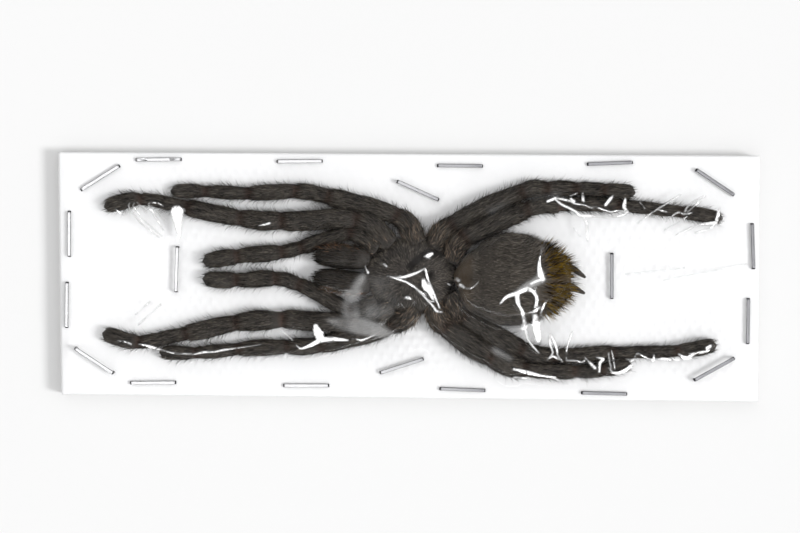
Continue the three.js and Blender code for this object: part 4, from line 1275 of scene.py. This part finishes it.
def mirrorSlopes(x, y, azimuth):
    # the slopes that throw light from the glint panels at this azimuth up to the viewer
    spot = np.stack([x, y, np.full_like(x, 8.0)], axis=-1)
    polar = math.radians(filmSheet["glintPolar"])
    panel = np.stack([math.sin(polar) * np.cos(azimuth), math.sin(polar) * np.sin(azimuth),
                      np.full_like(azimuth, math.cos(polar))], axis=-1) * filmSheet["glintDistance"]
    toLight = panel - spot
    toEye = np.array(filmSheet["viewFrom"]) - spot
    half = (toLight / np.linalg.norm(toLight, axis=-1, keepdims=True)
            + toEye / np.linalg.norm(toEye, axis=-1, keepdims=True))
    return -half[..., 0] / half[..., 2], -half[..., 1] / half[..., 2]


def creaseSlopes(x, y, slopeX, slopeY):
    # what each crease adds to the slopes: one side turned to mirror the light, and the other turned back; and a
    # white painted highlight along its line
    addX, addY, paintedGlint = np.zeros_like(x), np.zeros_like(x), np.zeros_like(x)
    arcMiddle = glintArc()[0]
    for crease in filmSheet["creases"].values():
        line, _, _ = smoothRoute(crease, 0.15)
        reach = line[:, 2].max() * 1.6 + 0.3
        near = np.flatnonzero(((x > line[:, 0].min() - reach) & (x < line[:, 0].max() + reach)
                               & (y > line[:, 1].min() - reach) & (y < line[:, 1].max() + reach)).ravel())
        spots = np.stack([x.ravel()[near], y.ravel()[near]], axis=1)
        apart = np.hypot(spots[:, :1] - line[None, :, 0], spots[:, 1:] - line[None, :, 1])
        closest = apart.argmin(axis=1)
        tangent = tangentsOf(line[:, :2])[closest]
        across = np.stack([-tangent[:, 1], tangent[:, 0]], axis=1)
        turned = np.cos(np.arctan2(across[:, 1], across[:, 0]) - arcMiddle) < 0
        across[turned] *= -1  # of the two sides, the one nearer the light
        offset = ((spots - line[closest, :2]) * across).sum(axis=1)
        beyond = np.abs(((spots - line[closest, :2]) * tangent).sum(axis=1))
        width = np.maximum(line[closest, 2] * filmSheet["litWidth"], filmSheet["leastWidth"])
        lit = (np.abs(offset) <= width / 2) & (beyond < 0.12)
        back = (offset < -width / 2) & (offset >= -filmSheet["backWidth"] * width) & (beyond < 0.12)
        wantX, wantY = mirrorSlopes(spots[:, 0], spots[:, 1], np.arctan2(across[:, 1], across[:, 0]))
        baseX, baseY = slopeX.ravel()[near], slopeY.ravel()[near]
        wantAcross = wantX * across[:, 0] + wantY * across[:, 1]
        missed = (baseX - wantX) * tangent[:, 0] + (baseY - wantY) * tangent[:, 1]
        wantAcross = -np.sqrt(np.maximum(wantAcross ** 2 - missed ** 2, 0.06))
        more = wantAcross - (baseX * across[:, 0] + baseY * across[:, 1])
        for mask, sign in ((lit, 1.0), (back, -1.0)):
            spot = near[mask]
            addX.ravel()[spot] = sign * more[mask] * across[mask, 0]
            addY.ravel()[spot] = sign * more[mask] * across[mask, 1]
        # the painted highlight: a white band along the crease line
        drawn = line[closest, 2] * filmSheet["paintedGlintWidth"]
        strength = np.clip(1.5 * drawn - 0.05, 0.3, 1)
        fromLine = np.hypot(offset, np.maximum(beyond - 0.1, 0))
        sharp = np.clip((np.maximum(drawn, 0.32) / 2 - fromLine) / 0.24 + 0.5, 0, 1)
        paintedGlint.ravel()[near] = np.maximum(paintedGlint.ravel()[near], sharp * strength)
    return addX, addY, paintedGlint


def insideOutline(x, y, outline):
    # a soft mask of the places within an outline, by counting crossings
    inside = np.zeros(x.shape, dtype=bool)
    for (ax, ay), (bx, by) in zip(outline, outline[1:] + outline[:1]):
        crosses = ((ay > y) != (by > y)) & (x < (bx - ax) * (y - ay) / (by - ay + 1e-9) + ax)
        inside ^= crosses
    soft = inside.astype(float)
    for _ in range(6):
        soft[1:-1, 1:-1] = (soft[1:-1, 1:-1] + 0.25 * besides(soft)) / 2
    return soft


def gentler(height, lowest, held, stepX, stepY):
    # slopes that would mirror the light over a broad face are eased or steepened, above what lies beneath
    arcMiddle, arcHalf = glintArc()
    gentle, steep = (math.tan(math.radians(filmSheet[key])) for key in ("gentle", "steep"))
    for _ in range(filmSheet["softenings"]):
        slopeY, slopeX = np.gradient(height, stepY, stepX)
        size = np.hypot(slopeX, slopeY) + 1e-6
        fall = np.arctan2(-slopeY, -slopeX)
        facing = np.cos(fall - arcMiddle) > math.cos(arcHalf + 0.25)
        middle = (gentle + steep) / 2
        wanted = np.where(size < middle, gentle, steep)
        share = np.where(facing & (size > gentle) & (size < steep), wanted / size - 1, 0)
        height = height + heightsFromSlopes(share * slopeX, share * slopeY, stepX, stepY)
        height = np.maximum(height, lowest)
        height[held] = lowest[held]
    return height


def heightsFromSlopes(addX, addY, stepX, stepY):
    # the height change whose slopes come closest to the ones asked for, with the rim left where it is
    source = np.gradient(addX, stepX, axis=1) + np.gradient(addY, stepY, axis=0)
    source = source[1:-1, 1:-1]
    rows, columns = source.shape
    sineOf = lambda n: np.sin(math.pi * np.outer(np.arange(1, n + 1), np.arange(1, n + 1)) / (n + 1))
    sineRows, sineColumns = sineOf(rows), sineOf(columns)
    rowPart = (2 * np.cos(math.pi * np.arange(1, rows + 1) / (rows + 1)) - 2) / stepY ** 2
    columnPart = (2 * np.cos(math.pi * np.arange(1, columns + 1) / (columns + 1)) - 2) / stepX ** 2
    waves = sineRows @ source @ sineColumns / (rowPart[:, None] + columnPart[None, :])
    change = sineRows @ waves @ sineColumns * (4 / ((rows + 1) * (columns + 1)))
    return np.pad(change, 1)


def filmPins(x, y):
    # the film runs just under each staple's crown
    halfLength, halfWidth, below = filmSheet["underCrown"]
    pinned = np.zeros(x.shape, dtype=bool)
    ceiling = np.full(x.shape, 99.0)
    for middleX, middleY, direction, crownTop in staplePlaces.values():
        along = (x - middleX) * direction[0] + (y - middleY) * direction[1]
        across = -(x - middleX) * direction[1] + (y - middleY) * direction[0]
        under = (np.abs(along) < halfLength) & (np.abs(across) < halfWidth)
        pinned |= under
        ceiling[under] = crownTop - stapleLook["Wire Height"] / mm - below
    return pinned, ceiling


def smoothed(field, rounds):
    for _ in range(rounds):
        field = np.pad(field, 1, mode="edge")
        field = (4 * field[1:-1, 1:-1] + 2 * besides(field)
                 + field[:-2, :-2] + field[2:, 2:] + field[:-2, 2:] + field[2:, :-2]) / 16
    return field


def makeFilm():
    look = filmSheet
    x, y = edgeLattice("clear_film", look["inset"], look["pitch"])
    rise = rimRise(x, y)
    ground = (tissueSheet["rimHeight"] + 0.06) * (1 - rise) + (tissueTop + look["lift"]) * rise
    whole = joinShells(*animal.values())
    solid = BVHTree.FromPolygons(whole["points"].tolist(), whole["faces"])
    bare = heightsFrom(solid, x, y, 0.0)
    lowest = np.where(bare > 0, bare + look["clearance"], ground)
    lowest = np.maximum(widened(lowest, 2), ground)
    pinned, ceiling = filmPins(x, y)
    lowest[pinned] = ceiling[pinned]
    rim = rimOf(x.shape)
    lowest[rim] = ground[rim]
    height = drawTight(lowest, pinned | rim)
    stepX = (x[:, -1] - x[:, 0]).mean() / (x.shape[1] - 1)
    stepY = (y[-1] - y[0]).mean() / (y.shape[0] - 1)
    height = gentler(height, lowest, pinned | rim, stepX, stepY)
    # the film is stiff: it bridges the small hollows and stands a little clear of the small bumps
    eased = smoothed(height, look["ease"] ** 2)
    eased += smoothed(widened(np.maximum(lowest - look["clearance"] * 0.5 - eased, 0), 4), look["ease"] ** 2)
    away = np.clip(smoothed(widened((pinned | rim).astype(float), 2), 4) * 1.2, 0, 1)
    height = height * away + eased * (1 - away)
    slopeY, slopeX = np.gradient(height, stepY, stepX)
    addX, addY, paintedGlint = creaseSlopes(x, y, slopeX, slopeY)
    place = flatPlace(x, y)
    # painted reflection haze: white patches within each outline, with the painted veil under them
    paintedHaze = np.zeros_like(x)
    for outline, strength in look["paintedHazes"].values():
        paintedHaze = np.maximum(paintedHaze, insideOutline(x, y, outline) * strength * (0.75 + 0.25 * waviness(place, 5)))
    paintedVeil = np.interp(x, look["paintedVeil"][:4], (0, look["paintedVeil"][4], look["paintedVeil"][4], look["paintedVeil"][4] * 0.2))
    paintedHaze = np.maximum(smoothed(paintedHaze, 6), paintedVeil)
    change = heightsFromSlopes(addX, addY, stepX, stepY)
    crinkle = look["crinkle"] * (waviness(place, 3.5) + 0.5 * waviness(place[..., [1, 0, 2]], 1.4))
    fade = np.clip(np.minimum.reduce([x - x.min(), x.max() - x, y - y.min(), y.max() - y]) / 2, 0, 1)
    height = height + change + crinkle * fade
    height = np.minimum(np.maximum(height, lowest - look["clearance"] * 0.8), ceiling + 0.05)
    return x, y, height, paintedGlint, np.clip(paintedHaze, 0, 1)


def filmMesh(x, y, height):
    points = np.stack([x, y, height], axis=-1).reshape(-1, 3)
    thing = makeObject("film_piece", makeMesh("film_piece", points, latticeFaces(*x.shape)), clearFilm)
    count = 2 * (x.shape[0] - 1) * (x.shape[1] - 1)
    fewer = thing.modifiers.new("fewer faces", "DECIMATE")
    fewer.ratio = filmSheet["faces"] / count
    thicker = thing.modifiers.new("thickness", "SOLIDIFY")
    thicker.thickness = filmSheet["thickness"] * mm
    thicker.offset = 1.0
    points = pointsOf(applyModifiers(thing))
    # the painted highlight on the creases and the painted reflection haze, for the film's finish
    for key, field in (("paintedGlint", filmPaintedGlint), ("paintedHaze", filmPaintedHaze)):
        layer = thing.data.attributes.new(key, "FLOAT", "POINT")
        layer.data.foreach_set("value", readLattice(field, points[:, 0], points[:, 1]))
    return finishPiece(thing, "clear_film")


def readLattice(field, x, y):
    # the field's value at any places, by finding each place on the film's four-sided lattice
    rows, columns = field.shape
    v = np.full(len(x), 0.5)
    for _ in range(4):
        left = filmX[0, 0] * (1 - v) + filmX[-1, 0] * v
        right = filmX[0, -1] * (1 - v) + filmX[-1, -1] * v
        u = np.clip((x - left) / (right - left), 0, 1)
        bottom = filmY[0, 0] * (1 - u) + filmY[0, -1] * u
        top = filmY[-1, 0] * (1 - u) + filmY[-1, -1] * u
        v = np.clip((y - bottom) / (top - bottom), 0, 1)
    return sampled(field, v * (rows - 1), u * (columns - 1))


filmX, filmY, filmHeight, filmPaintedGlint, filmPaintedHaze = makeFilm()
film = filmMesh(filmX, filmY, filmHeight)
print("film made, up to", round(float(filmHeight.max()), 1), "mm,", len(film.data.polygons), "faces")


# hair, grown from the skin by node trees: density a square millimetre, length and thickness in millimetres
hairSizes = ("Density", "Length", "Spread", "Thickness", "Lean", "Disorder", "Bend")
hairLook = {
    "fur": (6.0, 2.2, 0.5, 0.19, 0.95, 0.14, 0.06),
    "jawFur": (5.0, 2.2, 0.5, 0.19, 0.95, 0.14, 0.06),
    "shieldFur": (8.0, 1.0, 0.4, 0.14, 0.94, 0.14, 0.1),
    "tailFur": (6.5, 1.7, 0.5, 0.12, 0.93, 0.15, 0.1),
    "fringe": (2.6, 3.3, 0.75, 0.125, 0.55, 0.28, 0.2),
    "tailFringe": (2.0, 2.6, 0.75, 0.125, 0.55, 0.28, 0.2),
    "hipHair": (3.0, 2.6, 0.5, 0.2, 0.8, 0.4, 0.25),
    "jawHair": (2.6, 2.4, 0.5, 0.13, 0.7, 0.35, 0.25),
    "spinneretHair": (7.0, 2.0, 0.5, 0.13, 0.7, 0.35, 0.25),
    "rearHair": (4.6, 4.2, 0.6, 0.24, 0.88, 0.26, 0.12),
}


def makeHairTree(name, segments):
    tree, inlet, outlet = makeShapeTree(name, dict.fromkeys(hairSizes), ("Seed", "Int", None))
    seed = inlet.outputs["Seed"]

    def randomValue(low, high, salt):
        node = addNode(tree, "FunctionNodeRandomValue", data_type="FLOAT")
        node.inputs[2].default_value, node.inputs[3].default_value = low, high
        tree.links.new(plus(tree, seed, salt), node.inputs["Seed"])
        return node.outputs[1]

    def scaled(vector, factor):
        node = addNode(tree, "ShaderNodeVectorMath", {0: vector}, operation="SCALE")
        tree.links.new(factor, node.inputs["Scale"])
        return node.outputs[0]

    def added(first, second):
        return addNode(tree, "ShaderNodeVectorMath", {0: first, 1: second}, operation="ADD").outputs[0]

    def named(name, sort):
        return addNode(tree, "GeometryNodeInputNamedAttribute", {"Name": name}, data_type=sort).outputs[0]

    hairy, grow = named("hairy", "FLOAT"), named("grow", "FLOAT_VECTOR")
    density = times(tree, hairy, times(tree, inlet.outputs["Density"], 1e6))
    scatter = addNode(tree, "GeometryNodeDistributePointsOnFaces",
                      {"Mesh": inlet.outputs["Geometry"], "Density": density, "Seed": seed})
    toned = addNode(tree, "GeometryNodeStoreNamedAttribute",
                    {"Geometry": scatter.outputs["Points"], "Name": "tone", "Value": randomValue(0.0, 1.0, 3)},
                    data_type="FLOAT", domain="POINT").outputs[0]
    lean = inlet.outputs["Lean"]
    upright = scaled(scatter.outputs["Normal"], addMath(tree, "SUBTRACT", 1.0, lean))
    anyway = addNode(tree, "FunctionNodeRandomValue", data_type="FLOAT_VECTOR")
    anyway.inputs[0].default_value, anyway.inputs[1].default_value = (-1, -1, -1), (1, 1, 1)
    tree.links.new(plus(tree, seed, 11), anyway.inputs["Seed"])
    direction = added(added(upright, scaled(grow, lean)), scaled(anyway.outputs[0], inlet.outputs["Disorder"]))
    aimed = addNode(tree, "FunctionNodeAlignRotationToVector", {"Vector": direction}, axis="Z").outputs[0]
    spin = addNode(tree, "ShaderNodeCombineXYZ", {2: randomValue(0.0, 2 * math.pi, 5)}).outputs[0]
    turned = addNode(tree, "FunctionNodeRotateRotation", {0: aimed, 1: spin}, rotation_space="LOCAL")
    hair = addNode(tree, "GeometryNodeMeshCone", {
        "Vertices": 3, "Side Segments": segments, "Radius Bottom": 0.5, "Radius Top": 0.0, "Depth": 1.0,
    }, fill_type="NGON").outputs[0]
    along = partOf(tree, addNode(tree, "GeometryNodeInputPosition").outputs[0], 2)
    # the bend is worked out on the unit hair, whose width is then scaled down, so it is scaled up here
    sideways = times(tree, times(tree, along, along), inlet.outputs["Bend"])
    sideways = addMath(tree, "DIVIDE", times(tree, sideways, inlet.outputs["Length"]),
                       inlet.outputs["Thickness"])
    bent = addNode(tree, "GeometryNodeSetPosition", {"Geometry": hair, "Offset": addNode(
        tree, "ShaderNodeCombineXYZ", {0: sideways}).outputs[0]}).outputs[0]
    shrink = addMath(tree, "SUBTRACT", 1.0, times(tree, inlet.outputs["Spread"], randomValue(0.0, 1.0, 7)))
    length = times(tree, times(tree, inlet.outputs["Length"], shrink), mm)
    width = times(tree, inlet.outputs["Thickness"], mm)
    size = addNode(tree, "ShaderNodeCombineXYZ", {0: width, 1: width, 2: length}).outputs[0]
    planted = addNode(tree, "GeometryNodeInstanceOnPoints", {
        "Points": toned, "Instance": bent, "Rotation": turned.outputs[0], "Scale": size}).outputs[0]
    return finishTree(tree, inlet, outlet, planted)


hairGap = 0.02  # from the tissue; twice as much is left to the film
furTree = makeHairTree("short fur", 1)
bristleTree = makeHairTree("bent bristles", 2)


def growHair(name, source, kinds):
    # kinds: (tree, kind, finish, extra weight by place) for each sort of hair on this piece
    meshes = []
    for number, (tree, kind, finish, weight) in enumerate(kinds):
        kept = dict(source)
        if weight is not None:
            kept["hairy"] = source["hairy"] * weight(source)
        base = shellObject("growing", kept, finish)
        modifier = base.modifiers.new("hair", "NODES")
        modifier.node_group = tree
        seed = sum(map(ord, name)) * 7 + number * 101
        setInputs(modifier, tree, {**dict(zip(hairSizes, hairLook[kind])), "Seed": seed, "Finish": finish})
        applyModifiers(base)
        meshes.append(base)
    hair = meshes[0]
    if len(meshes) > 1:
        with bpy.context.temp_override(active_object=hair, selected_editable_objects=meshes,
                                       selected_objects=meshes, object=hair):
            bpy.ops.object.join()
    hair.name = hair.data.name = name + "_hair"
    tidyFinishes(hair.data)
    points = pointsOf(hair)
    # hair lies between the tissue and the film
    ceiling = readLattice(filmHeight, points[:, 0], points[:, 1]) - 2 * hairGap
    points[:, 2] = np.minimum(np.maximum(points[:, 2], tissueTop + hairGap), ceiling)
    hair.data.vertices.foreach_set("co", (points * mm).ravel())
    hair.data.update()
    return finishPiece(hair)


def tidyFinishes(mesh):
    # drops the empty finish that a node tree's result starts with
    kept = [finish for finish in mesh.materials if finish is not None]
    marks = np.empty(len(mesh.polygons), dtype=np.int32)
    mesh.polygons.foreach_get("material_index", marks)
    places = [kept.index(finish) if finish is not None else 0 for finish in mesh.materials]
    places = np.array(places, dtype=np.int32)
    mesh.materials.clear()
    for finish in kept:
        mesh.materials.append(finish)
    mesh.polygons.foreach_set("material_index", places[np.minimum(marks, len(places) - 1)])


def growAllHair():
    total = 0
    fringed = lambda shell: 0.2 + 0.8 * shell["edge"]
    lengthways, sideways = (lambda shell: shell["points"][:, 0]), (lambda shell: shell["points"][:, 1])
    fromHips = lambda shell: 18.0 - np.hypot(lengthways(shell) - 2.0, sideways(shell))
    behind = lambda shell: np.clip((lengthways(shell) + 6) / 10, 0.15, 1)
    nearBody = lambda shell: np.clip(fromHips(shell) / 4, 0, 1) * behind(shell)
    rusty = lambda shell: shell["edge"] * np.clip((np.abs(sideways(shell) - 2.2) - 4.2) / 1.5, 0, 1)
    parted = lambda shell: np.clip(np.abs(sideways(shell) + 0.8) / 1.6, 0.15, 1)
    rear = lambda shell: np.clip((lengthways(shell) - 38.0) / 2.5, 0, 1) * parted(shell)
    base = lambda shell: np.clip((47.0 - lengthways(shell)) / 2, 0, 1)
    front = lambda shell: 1 - 0.8 * np.clip((lengthways(shell) - 37) / 4, 0, 1)
    for name, shell in animal.items():
        if name in limbRoutes:
            end = np.array(limbRoutes[name][-1][:2])
            fromTip = lambda shell, end=end: np.linalg.norm(shell["points"][:, :2] - end, axis=1)
            furred = lambda shell: np.clip(fromTip(shell) / 2.2 - 0.1, 0.15, 1)
            tapered = lambda shell: fringed(shell) * np.clip(fromTip(shell) / 5 - 0.3, 0.04, 1)
            kinds = [(furTree, "fur", brownHair, furred), (bristleTree, "fringe", darkHair, tapered),
                     (bristleTree, "hipHair", tanHair, nearBody)]
        elif name.startswith("jaw"):
            kinds = [(furTree, "jawFur", darkHair, None), (bristleTree, "jawHair", rustHair, rusty)]
        elif name == "front_body":
            kinds = [(furTree, "shieldFur", paleHair, None)]
        elif name == "abdomen":
            kinds = [(furTree, "tailFur", paleHair, front), (bristleTree, "tailFringe", darkHair, fringed),
                     (bristleTree, "rearHair", goldHair, rear)]
        else:
            kinds = [(bristleTree, "spinneretHair", goldHair, base)]
        hair = growHair(name, shell, kinds)
        total += len(hair.data.polygons)
    return total


print("hair grown,", growAllHair(), "faces")


# floor, light and camera
studio = {"floorHalf": 1600.0, "floorPoints": 9, "floorTone": 0.745, "skyStrength": 0.9, "skyLow": 0.3,
          "keyStrength": 1.77, "keySpread": 16.0, "keyAzimuth": -15.0, "keyPolar": 47.0,
          "glintPower": 2.8, "glintSize": (0.87, 0.28),
          "glintAzimuths": (-110, -70, -30, 10),
          # panels that the wires mirror, as (place, size, power)
          "wireLights": (((0.0, 0.0, 1.2), (1.8, 1.8), 2.2), ((-0.3, 0.0, 1.2), (0.5, 1.8), 20.0))}
cameraLook = {"above": (-2.6, 3.0), "aim": 6.0, "distance": 650.0, "frameWidth": 232.0}


def makeFloor():
    half, count = studio["floorHalf"], studio["floorPoints"]
    points = flatPlace(*np.meshgrid(*[np.linspace(-half, half, count)] * 2)).reshape(-1, 3)
    material, tree, shader = newMaterial("studio floor", Roughness=0.9, Specular_IOR_Level=0.0)
    tone = studio["floorTone"]
    flecks = placeGroup(tree, fleckGroup, objectPlace(tree), 3.0, 400.0, 0.3)
    tree.links.new(mixColour(tree, flecks.outputs["Mask"], (tone,) * 3, (tone + 0.01,) * 3),
                   shader.inputs["Base Color"])
    floor = makeObject("studio_floor", makeMesh("studio_floor", points, latticeFaces(count, count)), material)


def addPanel(name, size, power):
    # a lamp panel that is only seen mirrored
    data = bpy.data.lights.new(name, "AREA")
    data.shape = "RECTANGLE"
    data.size, data.size_y = size
    data.energy = power
    panel = addToScene(name, data)
    panel.visible_camera = panel.visible_diffuse = False
    return panel


def lightFilm():
    # a row of low panels that the film's creases mirror
    polar = math.radians(filmSheet["glintPolar"])
    for azimuth in map(math.radians, studio["glintAzimuths"]):
        out = math.sin(polar)
        direction = Vector((out * math.cos(azimuth), out * math.sin(azimuth), math.cos(polar)))
        panel = addPanel("glint panel", studio["glintSize"], studio["glintPower"])
        panel.location = direction * (filmSheet["glintDistance"] * mm)
        panel.rotation_euler = direction.to_track_quat("Z", "Y").to_euler()


def makeWorld():
    # light from all round, most from overhead; mirrored, the sky is dim overhead and paler low down
    world = bpy.data.worlds.new("studio sky")
    bpy.context.scene.world = world
    world.use_nodes = True
    tree = world.node_tree
    tree.nodes.clear()
    height = partOf(tree, addNode(tree, "ShaderNodeTexCoord").outputs["Generated"], 2)
    low = mapRange(tree, height, 0.35, 0.9, 0.6, 0.12)
    glossy = addNode(tree, "ShaderNodeLightPath").outputs["Is Glossy Ray"]
    level = studio["skyStrength"] * studio["skyLow"]
    steepness = studio["skyStrength"] * (1 - studio["skyLow"]) * 1.5
    lift = addMath(tree, "MULTIPLY_ADD", addMath(tree, "MAXIMUM", height, 0.0), steepness, level)
    strength = addNode(tree, "ShaderNodeMix", {0: glossy, 2: lift, 3: low}).outputs[0]
    background = addNode(tree, "ShaderNodeBackground", {"Color": (1, 1, 1, 1), "Strength": strength})
    output = addNode(tree, "ShaderNodeOutputWorld")
    tree.links.new(background.outputs[0], output.inputs[0])


def makeCamera():
    look = cameraLook
    data = bpy.data.cameras.new("camera")
    data.sensor_width = 36.0
    data.lens = 36.0 * look["distance"] / look["frameWidth"]
    data.clip_start, data.clip_end = 0.01, 20.0
    camera = addToScene("camera", data)
    camera.location = (look["above"][0] * mm, look["above"][1] * mm, (look["aim"] + look["distance"]) * mm)
    bpy.context.scene.camera = camera


def placeKey():
    # the main light, far off and soft
    data = bpy.data.lights.new("key", "SUN")
    data.energy = studio["keyStrength"]
    data.angle = math.radians(studio["keySpread"])
    key = addToScene("key", data)
    key.rotation_euler = (0, math.radians(studio["keyPolar"]), math.radians(studio["keyAzimuth"]))
    key.visible_glossy = False


def lightStaples():
    # broad panels overhead that only the wire mirrors, brighter over the head end
    wires = bpy.data.collections.new("staples")
    for staple in staples:
        wires.objects.link(staple)
    for place, size, power in studio["wireLights"]:
        panel = addPanel("wire panel", size, power)
        panel.location = place
        panel.light_linking.receiver_collection = wires


makeFloor()
makeWorld()
placeKey()
lightStaples()
lightFilm()
makeCamera()
bpy.context.scene.view_settings.view_transform = "Standard"
print("floor, light and camera made")
